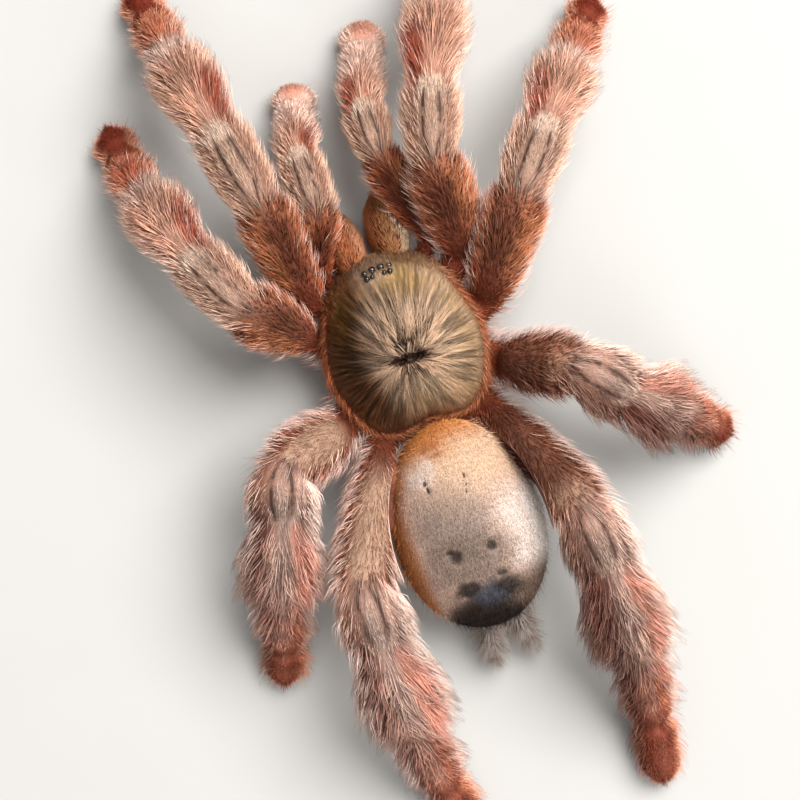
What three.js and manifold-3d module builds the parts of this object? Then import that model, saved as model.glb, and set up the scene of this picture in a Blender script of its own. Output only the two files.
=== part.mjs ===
// Tarantula, an adult female of the tree-living pinktoe kind, resting with her legs spread.
// Life size, in millimetres: head towards -Y, her left side at +X, back up, feet on z = 0.
// Every solid is drawn out to the tips of the hair that it carries.
import * as THREE from 'three';
import { mergeVertices } from 'three/addons/utils/BufferGeometryUtils.js';
import Module from 'manifold-3d';

const wasm = await Module();
wasm.setup();

// ---- driving dimensions ----

const GAP = 0.3; // clear space left between two neighbouring solids
const JOINT_CUT = GAP / 2; // how far each end stops short of its joint
const WELD = 1e-4; // vertices closer than this are one vertex
const FLOOR = 0;

const LIMB_SIDES = 9; // facets around a leg or a palp
const COXA_SIDES = 6; // facets around the hidden roots
const LIMB_RINGS = 4; // rings along one segment
const TIP_RINGS = 2; // rings on a rounded tip
const OVERRUN = 2.6; // how far a segment is drawn past its joints before the mitre cut
const BEND_CLEAR = 0.25; // share of a stretch left free of rings next to a bend

const CARAPACE = {
  sideRadius: 7.75, // from the central pit to the side rim
  frontReach: 2.8, // how much further the head reaches forward
  notchDepth: 1.9, // rear notch over the waist
  notchWidth: 0.3, // radians
  rim: 6.0, // height of the rim above the floor
  rimThickness: 0.7,
  crown: 4.0, // height of the dome above the rim
  fullness: 2.4, // higher makes the dome flatter on top and steeper at the rim
  forwardRise: 0.16, // how much the dome leans towards the head
  frontLift: 1.0, // how much higher the front rim stands than the sides
  pitDepth: 0.9,
  pitWidth: 0.17, // share of the radius
  grooveDepth: 0.28, // radial grooves between the muscle fields
  grooves: 8,
  moundAt: -8.8,
  moundHeight: 0.7,
  moundSize: [1.9, 1.3],
  sides: 24,
  rings: 6,
};
const STERNUM = { centre: [0, -0.8, 3.1], size: [3.3, 5.2, 0.75], sides: 14, rings: 4 };
const ABDOMEN = {
  centre: [0.05, 16.55, 6.9],
  size: [7.35, 10.2, 5.8],
  turn: 3.8, // degrees that the rear swings to her left
  swell: 0.08, // how much wider the rear is than the middle
  deepen: 0.065, // how much deeper the rear is than the middle
  sides: 20,
  rings: 10,
};
const PEDICEL = { from: [-0.25, 3.6, 5.0], to: [-0.6, 8.4, 5.6], radius: 1.25 };
const CHELICERA = {
  centre: [2.3, -12.2, 5.2],
  size: [2.05, 4.5, 3.2],
  pitch: 24, // degrees that the front end points down
  spread: 3, // degrees that it points outwards
  sides: 12,
  rings: 6,
};
const FANG = {
  root: [2.2, -14.6, 2.3],
  tip: [1.5, -10.6, 1.2],
  sag: 0.9, // how far it bows below the straight line
  radius: 0.5,
  steps: 5,
  sides: 4,
};
const SPINNERET = { root: [1.1, 24.6, 3.6], tip: [1.9, 29.6, 2.9], radius: 0.8 };
const EYES = [
  // on each side: front middle, front side, rear side and rear middle eye
  { at: [0.36, -9.3], radius: 0.3 },
  { at: [0.88, -9.25], radius: 0.28 },
  { at: [0.95, -8.75], radius: 0.27 },
  { at: [0.58, -8.8], radius: 0.22 },
];
const EYE_GAP = 0.06;
const EYE_FACETS = [6, 4];

// Height of the leg's joints above the floor. The foot bends between its long and its short part.
const LEG_HEIGHTS = { root: 4.0, hip: 5.2, knee: 13.0, wrist: 12.6, ankle: 8.2, bend: 1.9, toe: 1.15 };
const PALP_HEIGHTS = { root: 4.0, hip: 5.0, knee: 10.2, wrist: 9.4, toe: 0.2 };

const ROUND_TIP = 1.8; // length of a foot's rounded end
// Half width and half height of each segment at its start, middle and end, hair included.
const LEG_GIRTH = {
  coxa: { width: [2.2, 2.5, 2.2], height: [1.6, 1.9, 2.1] },
  femur: { width: [2.3, 3.4, 3.1], height: [2.3, 3.4, 2.9] },
  patella: { width: [2.9, 3.1, 3.0], height: [2.6, 2.9, 2.7] },
  tibia: { width: [3.1, 3.7, 2.9], height: [2.8, 3.2, 2.6] },
  metatarsus: { width: [2.7, 2.6, 2.3], height: [2.4, 2.4, 2.0] },
  tarsus: { width: [2.3, 2.25, 1.9], height: [2.0, 2.0, 1.85] },
};
const REAR_FLARE = 1.16; // the third and fourth legs carry longer side hair
const FLARED = ['patella', 'tibia'];
const CORNER_EASE = 0.1; // how far the blunted corner of a bend stands past the hair
const PALP_GIRTH = {
  coxa: { width: [1.6, 1.9, 1.8], height: [1.5, 1.8, 1.9] },
  femur: { width: [1.9, 2.6, 2.5], height: [1.9, 2.5, 2.3] },
  patella: { width: [2.4, 2.6, 2.5], height: [2.2, 2.4, 2.3] },
  tibia: { width: [2.5, 2.7, 2.4], height: [2.2, 2.3, 2.1] },
};

// Each leg: its root on the breastplate, its hip, then for femur, patella, tibia, metatarsus and
// tarsus the level distance covered and the heading (degrees from straight ahead, her left +).
const LEGS = {
  left_1: {
    root: [3.0, -4.4], hip: [6.8, -8.2],
    run: [10.0, 8.3, 9.4, 4.9, 3.8], heading: [8, 10, 12, 9, 8],
  },
  left_2: {
    root: [3.7, -1.9], hip: [7.9, -5.2],
    run: [6.4, 7.4, 8.1, 4.7, 3.7], heading: [50, 25, 19, 11, 11],
  },
  left_3: {
    root: [3.7, 0.9], hip: [8.2, 4.2],
    run: [6.5, 4.9, 8.6, 5.2, 3.6], heading: [100, 163, 158, 159, 159],
  },
  left_4: {
    root: [2.6, 3.4], hip: [5.2, 6.9],
    run: [13.0, 5.9, 9.8, 7.4, 5.2], heading: [152, 179, 180, 187, 189],
  },
  right_1: {
    root: [-3.0, -4.4], hip: [-8.5, -7.8],
    run: [9.0, 7.0, 9.3, 4.7, 3.7], heading: [1, -19, -25, -25, -25],
  },
  right_2: {
    root: [-3.7, -1.9], hip: [-9.2, -2.9],
    run: [10.0, 6.9, 7.1, 4.3, 3.7], heading: [-36, -40, -42, -42, -40],
  },
  right_3: {
    root: [-3.7, 0.9], hip: [-8.7, 3.3],
    run: [6.3, 5.7, 5.7, 3.2, 3.3], heading: [-114, -140, -127, -128, -135],
  },
  right_4: {
    root: [-2.6, 3.4], hip: [-5.9, 6.8],
    run: [12.6, 6.1, 9.9, 8.1, 5.3], heading: [-159, -176, -180, -184, -190],
  },
};
const PALPS = {
  left: {
    root: [1.5, -6.2], hip: [5.2, -9.9],
    run: [6.6, 5.7, 7.1], heading: [-16, -1, -14],
  },
  right: {
    root: [-1.5, -6.2], hip: [-5.9, -10.0],
    run: [9.5, 4.7, 9.0], heading: [13, -2, -20],
  },
};

const FINISHES = {
  coxa: { color: 0x8a4229, roughness: 0.85 },
  femur: { color: 0x7a3b2a, roughness: 0.9 },
  patella: { color: 0xc4ab93, roughness: 0.85 },
  tibia: { color: 0xb98a76, roughness: 0.9 },
  foot: { color: 0x9a4027, roughness: 0.9 },
  carapace: { color: 0xa38e70, roughness: 0.6 },
  sternum: { color: 0x4a2a1e, roughness: 0.6 },
  abdomen: { color: 0xc8a490, roughness: 0.75 },
  chelicera: { color: 0xa8845f, roughness: 0.7 },
  fang: { color: 0x1a0f0b, roughness: 0.25 },
  eye: { color: 0x0b0907, roughness: 0.1 },
};

// ---- solids ----

function solidFrom(geometry) {
  const bare = geometry.clone();
  bare.deleteAttribute('normal');
  bare.deleteAttribute('uv');
  const merged = mergeVertices(bare, WELD);
  return new wasm.Manifold(new wasm.Mesh({
    numProp: 3,
    vertProperties: new Float32Array(merged.attributes.position.array),
    triVerts: new Uint32Array(merged.index.array),
  }));
}

function geometryFrom(solid) {
  const mesh = solid.getMesh();
  const geometry = new THREE.BufferGeometry();
  geometry.setAttribute('position', new THREE.BufferAttribute(mesh.vertProperties, mesh.numProp));
  geometry.setIndex(new THREE.BufferAttribute(mesh.triVerts, 1));
  geometry.computeVertexNormals();
  return geometry;
}

function largestPiece(solid) {
  const pieces = solid.decompose();
  return pieces.reduce((best, piece) => (piece.volume() > best.volume() ? piece : best));
}

function boxesTouch(one, other) {
  return [0, 1, 2].every((axis) => one.min[axis] < other.max[axis] && other.min[axis] < one.max[axis]);
}

// Keeps the side of a plane that its normal points to, starting a little way past the point.
function trimmed(solid, plane) {
  return solid.trimByPlane(plane.normal.toArray(), plane.normal.dot(plane.point) + plane.clear);
}

const floorPlane = {
  point: new THREE.Vector3(0, 0, FLOOR), normal: new THREE.Vector3(0, 0, 1), clear: 0,
};
const placedSolids = [];

// Adds one named mesh. draw(extra) gives its geometries in its own frame, swollen by extra.
// They are joined, trimmed by the joint planes, then cleared of every solid placed before them.
function addPart(parent, name, finish, draw, matrix, { planes = [], gap = GAP } = {}) {
  const finished = (extra) => {
    const solids = draw(extra).map((geometry) => solidFrom(geometry.applyMatrix4(matrix)));
    return planes.reduce(trimmed, solids.reduce((whole, solid) => whole.add(solid)));
  };
  let solid = finished(0);
  const box = solid.boundingBox();
  for (const earlier of placedSolids) {
    if (boxesTouch(earlier.box, box)) solid = solid.subtract(earlier.swollen);
  }
  solid = largestPiece(solid);
  const swollen = finished(gap);
  placedSolids.push({ swollen, box: swollen.boundingBox() });

  const geometry = geometryFrom(solid).applyMatrix4(matrix.clone().invert());
  const mesh = new THREE.Mesh(geometry, new THREE.MeshStandardMaterial({ metalness: 0, ...finish }));
  mesh.name = name;
  matrix.decompose(mesh.position, mesh.quaternion, mesh.scale);
  parent.add(mesh);
  return mesh;
}

// A frame whose Y runs from one point to another and whose Z leans up.
function frameAlong(from, to) {
  const y = new THREE.Vector3().subVectors(to, from).normalize();
  const x = new THREE.Vector3().crossVectors(y, new THREE.Vector3(0, 0, 1)).normalize();
  const z = new THREE.Vector3().crossVectors(x, y);
  return new THREE.Matrix4().makeBasis(x, y, z).setPosition(from);
}

// Value along a segment from its start, middle and end values, as a parabola.
function alongSegment([start, middle, end], share) {
  const straight = THREE.MathUtils.lerp(start, end, share);
  const bulge = middle - (start + end) / 2;
  return straight + bulge * 4 * share * (1 - share);
}

// Where the rings of an oval tube stand: the stretch, the distance along it and the girth's share.
function tubeRings(stretches, tipped) {
  const last = stretches.length - 1;
  return stretches.flatMap(({ length }, i) => {
    const begin = i === 0 ? -OVERRUN : length * BEND_CLEAR;
    const straightEnd = i === last ? length + OVERRUN : length * (1 - BEND_CLEAR);
    const end = tipped && i === last ? length - ROUND_TIP : straightEnd;
    const count = Math.ceil(LIMB_RINGS / stretches.length);
    const rings = Array.from({ length: count + 1 }, (_, ring) => ({
      stretch: i, along: THREE.MathUtils.lerp(begin, end, ring / count), size: 1,
    }));
    for (let ring = 1; tipped && i === last && ring <= TIP_RINGS; ring += 1) {
      const angle = (ring / TIP_RINGS) * (Math.PI / 2);
      rings.push({ stretch: i, along: end + ROUND_TIP * Math.sin(angle), size: Math.cos(angle) });
    }
    return rings;
  });
}

// An oval tube of changing girth through a chain of joints, in the frame of its first stretch.
// It is drawn past its joints, where the mitre cut follows, and rounded off at a foot's tip.
function tubeGeometry(points, girths, { sides = LIMB_SIDES, tipped = false }, extra) {
  const home = frameAlong(points[0], points[1]).invert();
  const stretches = girths.map((girth, i) => ({
    girth,
    length: points[i].distanceTo(points[i + 1]),
    frame: home.clone().multiply(frameAlong(points[i], points[i + 1])),
  }));
  const rings = tubeRings(stretches, tipped);
  const profile = rings.map(({ size }, i) => new THREE.Vector2(size < WELD ? 0 : size, i));
  profile.unshift(new THREE.Vector2(0, 0));
  if (!tipped) profile.push(new THREE.Vector2(0, rings.length - 1));

  const geometry = new THREE.LatheGeometry(profile, sides);
  const position = geometry.attributes.position;
  const point = new THREE.Vector3();
  for (let i = 0; i < position.count; i += 1) {
    const { stretch, along, size } = rings[position.getY(i)];
    const { girth, length, frame } = stretches[stretch];
    const share = THREE.MathUtils.clamp(along / length, 0, 1);
    const tipShift = size < 1 ? extra : 0;
    point.set(
      position.getX(i) * (alongSegment(girth.width, share) + extra),
      along + tipShift,
      position.getZ(i) * (alongSegment(girth.height, share) + extra),
    );
    position.setXYZ(i, ...point.applyMatrix4(frame));
  }
  return geometry;
}

// A ball pulled to three half sizes, its poles on the Y axis, with a shape rule for each vertex.
function ovalGeometry(size, sides, rings, extra, shape = (point) => point) {
  const profile = [];
  for (let ring = 0; ring <= rings; ring += 1) {
    const angle = -Math.PI / 2 + (ring / rings) * Math.PI;
    const edge = ring === 0 || ring === rings;
    profile.push(new THREE.Vector2(edge ? 0 : Math.cos(angle), Math.sin(angle)));
  }
  const geometry = new THREE.LatheGeometry(profile, sides);
  const position = geometry.attributes.position;
  const point = new THREE.Vector3();
  for (let i = 0; i < position.count; i += 1) {
    point.fromBufferAttribute(position, i);
    shape(point);
    position.setXYZ(i, ...size.map((half, axis) => point.getComponent(axis) * (half + extra)));
  }
  return geometry;
}

function mirrored([x, ...rest], side) {
  return new THREE.Vector3(x * side, ...rest);
}

// ---- trunk ----

// Distance from the central pit to the rim; angle 0 looks forward.
function carapaceRadius(angle) {
  const forward = Math.max(0, Math.cos(angle)) ** 2;
  const fromRear = Math.PI - Math.abs(angle);
  const notch = CARAPACE.notchDepth * Math.exp(-((fromRear / CARAPACE.notchWidth) ** 2));
  return CARAPACE.sideRadius + CARAPACE.frontReach * forward - notch;
}

// Height of the shield over its rim at a share of the radius.
function carapaceHeight(share, angle, y) {
  const dome = CARAPACE.crown * Math.sqrt(Math.max(0, 1 - share ** CARAPACE.fullness));
  const lean = 1 + CARAPACE.forwardRise * Math.cos(angle) * share;
  const pit = CARAPACE.pitDepth * Math.exp(-((share / CARAPACE.pitWidth) ** 2));
  const groove = CARAPACE.grooveDepth * (1 - Math.cos(CARAPACE.grooves * angle)) * share * (1 - share);
  const x = Math.sin(angle) * share * carapaceRadius(angle);
  const [moundX, moundY] = CARAPACE.moundSize;
  const away = (x / moundX) ** 2 + ((y - CARAPACE.moundAt) / moundY) ** 2;
  const mound = CARAPACE.moundHeight * Math.exp(-away);
  return dome * lean - pit - groove + mound + rimLift(share, angle);
}

function rimLift(share, angle) {
  return CARAPACE.frontLift * Math.max(0, Math.cos(angle)) ** 2 * share;
}

function carapaceGeometry(extra) {
  const profile = [new THREE.Vector2(0, -1), new THREE.Vector2(1, -1)];
  for (let ring = CARAPACE.rings; ring >= 1; ring -= 1) {
    profile.push(new THREE.Vector2(Math.sqrt(ring / CARAPACE.rings), 0));
  }
  profile.push(new THREE.Vector2(0, 0));
  const geometry = new THREE.LatheGeometry(profile, CARAPACE.sides);
  const position = geometry.attributes.position;
  for (let i = 0; i < position.count; i += 1) {
    const [px, level, pz] = [position.getX(i), position.getY(i), position.getZ(i)];
    const share = Math.min(1, Math.hypot(px, pz));
    const angle = Math.atan2(px, pz);
    const radius = (carapaceRadius(angle) + extra) * share;
    const y = -radius * Math.cos(angle);
    const height = level < 0
      ? rimLift(share, angle) - CARAPACE.rimThickness - extra
      : carapaceHeight(share, angle, y) + extra;
    position.setXYZ(i, radius * Math.sin(angle), y, height);
  }
  return geometry;
}

// The height of the shield's surface over the floor at a place given by side and forward.
function shieldHeightAt(x, y) {
  const angle = Math.atan2(x, -y);
  return CARAPACE.rim + carapaceHeight(Math.hypot(x, y) / carapaceRadius(angle), angle, y);
}

function abdomenShape(point) {
  point.x *= 1 + ABDOMEN.swell * point.y;
  point.z *= 1 + ABDOMEN.deepen * point.y;
}

const SIDES = [['left', 1], ['right', -1]];
const spider = new THREE.Group();
const trunk = new THREE.Group();
spider.add(trunk);

for (const [side, sign] of SIDES) {
  const drawEyes = (extra) => EYES.map(({ at: [x, y], radius }) => (
    ovalGeometry([radius, radius, radius], ...EYE_FACETS, extra)
      .translate(x * sign, y, shieldHeightAt(x, y))
  ));
  addPart(trunk, `eyes_${side}`, FINISHES.eye, drawEyes, new THREE.Matrix4(), { gap: EYE_GAP });
}
addPart(
  trunk, 'carapace', FINISHES.carapace, (extra) => [carapaceGeometry(extra)],
  new THREE.Matrix4().makeTranslation(0, 0, CARAPACE.rim),
);
addPart(
  trunk, 'abdomen', FINISHES.abdomen,
  (extra) => [ovalGeometry(ABDOMEN.size, ABDOMEN.sides, ABDOMEN.rings, extra, abdomenShape)],
  new THREE.Matrix4()
    .makeRotationZ(-THREE.MathUtils.degToRad(ABDOMEN.turn))
    .setPosition(...ABDOMEN.centre),
);
addPart(
  trunk, 'sternum', FINISHES.sternum,
  (extra) => [ovalGeometry(STERNUM.size, STERNUM.sides, STERNUM.rings, extra)],
  new THREE.Matrix4().makeTranslation(...STERNUM.centre),
);

// A slim oval from one point to another.
function addSlimOval(name, finish, from, to, radius) {
  addPart(
    trunk, name, finish,
    (extra) => [ovalGeometry([radius, from.distanceTo(to) / 2, radius], LIMB_SIDES, LIMB_RINGS, extra)],
    frameAlong(from, to).setPosition(from.clone().lerp(to, 0.5)),
  );
}

// A hook from its root to its tip, bowed below the straight line between them.
function fangGeometry(side, extra) {
  const [root, tip] = [mirrored(FANG.root, side), mirrored(FANG.tip, side)];
  const middle = root.clone().lerp(tip, 0.5);
  middle.z -= FANG.sag;
  const path = new THREE.QuadraticBezierCurve3(root, middle, tip);
  const outline = new THREE.Shape().absarc(0, 0, FANG.radius + extra, 0, Math.PI * 2);
  return new THREE.ExtrudeGeometry(outline, {
    extrudePath: path, steps: FANG.steps, curveSegments: FANG.sides, bevelEnabled: false,
  });
}

addSlimOval(
  'pedicel', FINISHES.coxa,
  new THREE.Vector3(...PEDICEL.from), new THREE.Vector3(...PEDICEL.to), PEDICEL.radius,
);
for (const [side, sign] of SIDES) {
  const [pitch, spread] = [CHELICERA.pitch, CHELICERA.spread].map(THREE.MathUtils.degToRad);
  const turn = new THREE.Euler(pitch, 0, spread * sign, 'ZXY');
  addPart(
    trunk, `chelicera_${side}`, FINISHES.chelicera,
    (extra) => [ovalGeometry(CHELICERA.size, CHELICERA.sides, CHELICERA.rings, extra)],
    new THREE.Matrix4().makeRotationFromEuler(turn).setPosition(mirrored(CHELICERA.centre, sign)),
  );
  addPart(
    trunk, `fang_${side}`, FINISHES.fang,
    (extra) => [fangGeometry(sign, extra)], new THREE.Matrix4(), { planes: [floorPlane] },
  );
  addSlimOval(
    `spinneret_${side}`, FINISHES.abdomen,
    mirrored(SPINNERET.root, sign), mirrored(SPINNERET.tip, sign), SPINNERET.radius,
  );
}

// ---- limbs ----

// The joints of a limb from its root on the breastplate to its tip.
function jointsOf(limb) {
  const heights = Object.values(limb.rank === 0 ? PALP_HEIGHTS : LEG_HEIGHTS);
  const joints = [limb.root, limb.hip].map(([x, y], i) => new THREE.Vector3(x, y, heights[i]));
  limb.run.forEach((run, i) => {
    const heading = THREE.MathUtils.degToRad(limb.heading[i]);
    const step = new THREE.Vector3(run * Math.sin(heading), -run * Math.cos(heading), 0);
    joints.push(joints[i + 1].clone().add(step).setZ(heights[i + 2]));
  });
  return joints;
}

// The two directions that meet at joint i of a chain.
function directionsAt(points, i) {
  return [i, i + 1].map((j) => new THREE.Vector3().subVectors(points[j], points[j - 1]).normalize());
}

// The mitre plane halfway between the directions that meet at a joint; side 1 keeps what follows.
function mitreAt(points, i, side) {
  const [before, after] = directionsAt(points, i);
  const normal = before.add(after).normalize().multiplyScalar(side);
  return { point: points[i], normal, clear: JOINT_CUT };
}

// The plane that blunts the outer corner of a bend.
function cornerAt(points, i, reach) {
  const [before, after] = directionsAt(points, i);
  const outwards = before.sub(after).normalize();
  const point = points[i].clone().addScaledVector(outwards, reach);
  return { point, normal: outwards.negate(), clear: 0 };
}

// The upright wall between two neighbouring roots, from the breastplate out to their hips.
function wallBetween(limb, neighbour) {
  const [rootX, rootY] = [0, 1].map((axis) => (limb.root[axis] + neighbour.root[axis]) / 2);
  const [hipX, hipY] = [0, 1].map((axis) => (limb.hip[axis] + neighbour.hip[axis]) / 2);
  const point = new THREE.Vector3(rootX, rootY, 0);
  const normal = new THREE.Vector3(hipY - rootY, rootX - hipX, 0).normalize();
  const inside = new THREE.Vector3(...limb.hip, 0).sub(point).dot(normal) > 0;
  return { point, normal: inside ? normal : normal.negate(), clear: JOINT_CUT };
}

const LIMBS = SIDES.flatMap(([side]) => {
  const legs = [1, 2, 3, 4].map((rank) => (
    { name: `leg_${side}_${rank}`, rank, ...LEGS[`${side}_${rank}`] }
  ));
  const palp = { name: `palp_${side}`, rank: 0, ...PALPS[side] };
  const row = [palp, ...legs];
  return row.map((limb, i) => ({
    ...limb,
    group: new THREE.Group(),
    walls: [row[i - 1], row[i + 1]].filter(Boolean).map((neighbour) => wallBetween(limb, neighbour)),
  }));
});

function girthsOf(limb) {
  const base = limb.rank === 0 ? PALP_GIRTH : LEG_GIRTH;
  return Object.fromEntries(Object.entries(base).map(([part, { width, height }]) => {
    const flare = limb.rank >= 3 && FLARED.includes(part) ? REAR_FLARE : 1;
    return [part, { width: width.map((half) => half * flare), height }];
  }));
}

// Each segment: its name, the joint that it starts from, and the girths of its stretches.
function segmentsOf(limb) {
  const girth = girthsOf(limb);
  const upper = ['coxa', 'femur', 'patella', 'tibia'];
  const segments = upper.map((part, first) => [part, first, [girth[part]]]);
  if (limb.rank > 0) segments.push(['foot', upper.length, [girth.metatarsus, girth.tarsus]]);
  return segments;
}

function addSegment(limb, [part, first, girths]) {
  const points = jointsOf(limb);
  const last = first + girths.length;
  const tipped = last === points.length - 1;
  const planes = [floorPlane];
  if (first === 0) {
    planes.push(...limb.walls);
  } else {
    planes.push(mitreAt(points, first, 1), cornerAt(points, first, girths[0].height[0] + CORNER_EASE));
  }
  if (!tipped) {
    planes.push(mitreAt(points, last, -1), cornerAt(points, last, girths[0].height[2] + CORNER_EASE));
  }
  const shape = { tipped, sides: first === 0 ? COXA_SIDES : LIMB_SIDES };
  addPart(
    limb.group, `${limb.name}_${part}`, FINISHES[part],
    (extra) => [tubeGeometry(points.slice(first, last + 1), girths, shape, extra)],
    frameAlong(points[first], points[first + 1]), { planes },
  );
}

// The roots come first, so that the limbs above them give way where they touch.
LIMBS.forEach((limb) => {
  spider.add(limb.group);
  addSegment(limb, segmentsOf(limb)[0]);
});
LIMBS.forEach((limb) => segmentsOf(limb).slice(1).forEach((segment) => addSegment(limb, segment)));

// The origin is the middle of the ground under her.
const extent = new THREE.Box3().setFromObject(spider, true);
const middle = extent.getCenter(new THREE.Vector3());
spider.position.set(-middle.x, -middle.y, -extent.min.z);

export default spider;
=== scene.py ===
"""A tree-living tarantula at life size: skin, coat, plates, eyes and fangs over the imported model.

Shapes are worked out in millimetres and written in metres. Her head is towards -Y and her left
side at +X. A station counts the joints of a limb: 0 root, 1 hip, 2 knee, 3 wrist, 4 ankle,
5 bend of the foot, 6 tip of the foot. Around is the place about a limb, from -1 to 1, with 0 on
its back and its ends on its underside.
"""

import math

import bpy
import numpy as np
from bpy.props import FloatProperty, FloatVectorProperty, IntProperty, PointerProperty
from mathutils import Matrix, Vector
from mathutils.bvhtree import BVHTree
from mathutils.kdtree import KDTree


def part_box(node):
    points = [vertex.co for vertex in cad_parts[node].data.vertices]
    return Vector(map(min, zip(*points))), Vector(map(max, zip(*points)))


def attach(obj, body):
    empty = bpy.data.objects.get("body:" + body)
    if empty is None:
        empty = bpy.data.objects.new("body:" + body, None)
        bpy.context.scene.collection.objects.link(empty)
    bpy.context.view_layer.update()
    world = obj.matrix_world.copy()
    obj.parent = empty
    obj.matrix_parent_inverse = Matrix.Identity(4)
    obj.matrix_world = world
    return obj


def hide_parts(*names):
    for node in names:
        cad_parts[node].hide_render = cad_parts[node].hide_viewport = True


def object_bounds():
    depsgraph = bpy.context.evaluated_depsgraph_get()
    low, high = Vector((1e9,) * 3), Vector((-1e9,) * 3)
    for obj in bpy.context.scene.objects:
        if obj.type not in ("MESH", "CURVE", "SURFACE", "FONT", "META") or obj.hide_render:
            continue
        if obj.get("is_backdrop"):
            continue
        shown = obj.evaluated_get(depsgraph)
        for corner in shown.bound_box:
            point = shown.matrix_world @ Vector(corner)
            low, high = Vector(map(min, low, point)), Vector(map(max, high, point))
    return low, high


bl_info = {
    "name": "Tree Tarantula",
    "version": (1, 0, 0),
    "blender": (4, 5, 0),
    "location": "3D View > Sidebar > Tarantula",
    "description": "Skin, coat, plates, eyes and fangs of a resting tarantula",
    "category": "Object",
}

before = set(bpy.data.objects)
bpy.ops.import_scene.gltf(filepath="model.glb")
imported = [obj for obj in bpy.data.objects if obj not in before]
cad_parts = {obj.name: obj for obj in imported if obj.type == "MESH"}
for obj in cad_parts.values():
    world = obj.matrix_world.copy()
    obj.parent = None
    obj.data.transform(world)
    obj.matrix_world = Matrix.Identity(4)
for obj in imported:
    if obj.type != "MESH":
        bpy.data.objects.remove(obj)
CAD_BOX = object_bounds()

MM = 0.001
TINY = 1e-9
UP = np.array([0.0, 0.0, 1.0])
BACK = np.array([0.0, 1.0, 0.0])
SEED = 11
STATIONS = 6
BODY = "root"

SIDES = ("left", "right")
LEG_PARTS = ("coxa", "femur", "patella", "tibia", "foot")
PALP_PARTS = ("coxa", "femur", "patella", "tibia")
PALP_TARSUS_SHARE = 0.52  # where the palp's last solid changes from shin to foot

# How ragged and pale each limb's coat is, from 0 for a neat one to 1; a palp's is marked below 0.
# The right rear legs are the darker ones, partly their own colour and partly painted shade, which the
# markings tell by their lower numbers.
SHAG = {
    "palp_left": -0.3, "leg_left_1": 0.2, "leg_left_2": 0.3, "leg_left_3": 0.95, "leg_left_4": 1.0,
    "palp_right": -0.3, "leg_right_1": 0.2, "leg_right_2": 0.26, "leg_right_3": 0.75, "leg_right_4": 0.8,
}
PAIRED_MARKS = 0.5  # limbs neater than this carry their marks mirrored, on the side that faces forward

# Value by station, in millimetres, degrees or hairs per square millimetre.
COAT_DEPTH = ((0, 0.15), (1, 0.4), (1.5, 1.05), (2, 0.75), (2.5, 0.8), (3, 0.9), (3.5, 1.5),
              (4, 0.95), (4.5, 0.7), (5, 0.5), (6, 0.4))
DEPTH_SHARES = (1.0, 0.65)  # of that depth, at a limb's sides and on its back
GUARD_DENSITY = ((0, 11), (1, 10), (2, 10), (2.5, 12), (3, 9), (4, 13), (5, 19), (6, 24))
UNDER_DENSITY = ((0, 9), (1, 14), (1.9, 18), (2.1, 30), (2.9, 28), (3.1, 16), (4, 32), (5, 60), (6, 76))
STRAY_DENSITY = ((0, 4.4), (1.2, 2.6), (2, 1.9), (2.8, 1.9), (3.1, 3.8), (3.7, 3.6), (4.2, 2.8),
                 (4.8, 2.2), (5.6, 1.3), (6, 0.5))
TOP_LIFT = ((0, 40), (1.0, 26), (1.5, 13), (2, 10), (2.9, 12), (3.4, 13), (4, 20), (4.6, 26), (6, 36))
SIDE_LIFT = ((0, 52), (1.5, 36), (2.5, 30), (3.5, 36), (4.5, 38), (6, 40))
LONGEST = ((0, 3.4), (1, 3.3), (1.5, 3.2), (2.2, 2.5), (2.8, 2.5), (3.3, 3.4), (4, 2.2), (4.5, 1.1),
           (5, 0.95), (6, 0.8))
STRAY_LENGTH = ((0, 3.6), (1.5, 3.2), (2.5, 3.2), (3.3, 4.6), (4.2, 3.4), (5, 2.3), (6, 1.3))
HAIR_WIDTH = ((0, 0.042), (2, 0.042), (3.5, 0.044), (4.5, 0.04), (6, 0.035))
CLUMPING = ((0, 0.3), (2, 0.3), (2.6, 0.45), (3.2, 0.8), (4, 0.7), (4.6, 0.35), (5, 0.1), (6, 0.0))
NOTCHES = ((1.98, 0.35), (2.98, 0.3), (3.98, 0.4), (4.7, 0.62))  # how short the coat is at each joint
NOTCH_REACH = 0.75
JOINT_PINCH = ((2, 0.2), (3, 0.16), (4, 0.2), (4.76, 0.34))  # how much the skin draws in at each joint
PINCH_REACH = 0.75
PATH_STEP = 0.25
PATH_EASE = 0.8
THINNEST = 0.8  # the least half width or half height of a limb with its coat
GIRTH_SHARES = (0.3, 0.5, 0.7)
TIP_DOME = 1.5
TUBE_SIDES = 28
STRIPE_AT = 0.12  # the two bare lines on each knee plate, in half turns from the middle
STRIPE_WIDE = 0.03
STRIPE_CLOSE = 0.25  # how far the lines draw together again at their far end
LINE_BARE = 1.0
LINE_FADE = 0.1  # how much less bare the lines are on the most ragged legs


def unit(vectors):
    return vectors / np.maximum(np.linalg.norm(vectors, axis=-1, keepdims=True), TINY)


def by_station(table, station):
    knots, values = zip(*table)
    return np.interp(station, knots, values)


def smoothstep(value, start, end):
    share = np.clip((value - start) / (end - start), 0, 1)
    return share * share * (3 - 2 * share)


def swell(value, start, full, ebb, end):
    """Full between two values, and fading beyond them."""
    return smoothstep(value, start, full) * (1 - smoothstep(value, ebb, end))


def circle(sides):
    """Even angles all the way round."""
    return np.arange(sides) / sides * 2 * math.pi


def crossed(first, second):
    """Every pair of two lists of values, as two long lists."""
    return (values.ravel() for values in np.meshgrid(first, second, indexing="ij"))


def ball(sides, rings, closed=0.995):
    """Directions all round, in rings from end to end; less than 1 closed leaves a pinhole at each end."""
    rise, turn = crossed(np.linspace(-0.5, 0.5, rings) * math.pi * closed, circle(sides))
    return np.stack([np.cos(rise) * np.sin(turn), np.sin(rise), np.cos(rise) * np.cos(turn)], axis=1)


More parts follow.
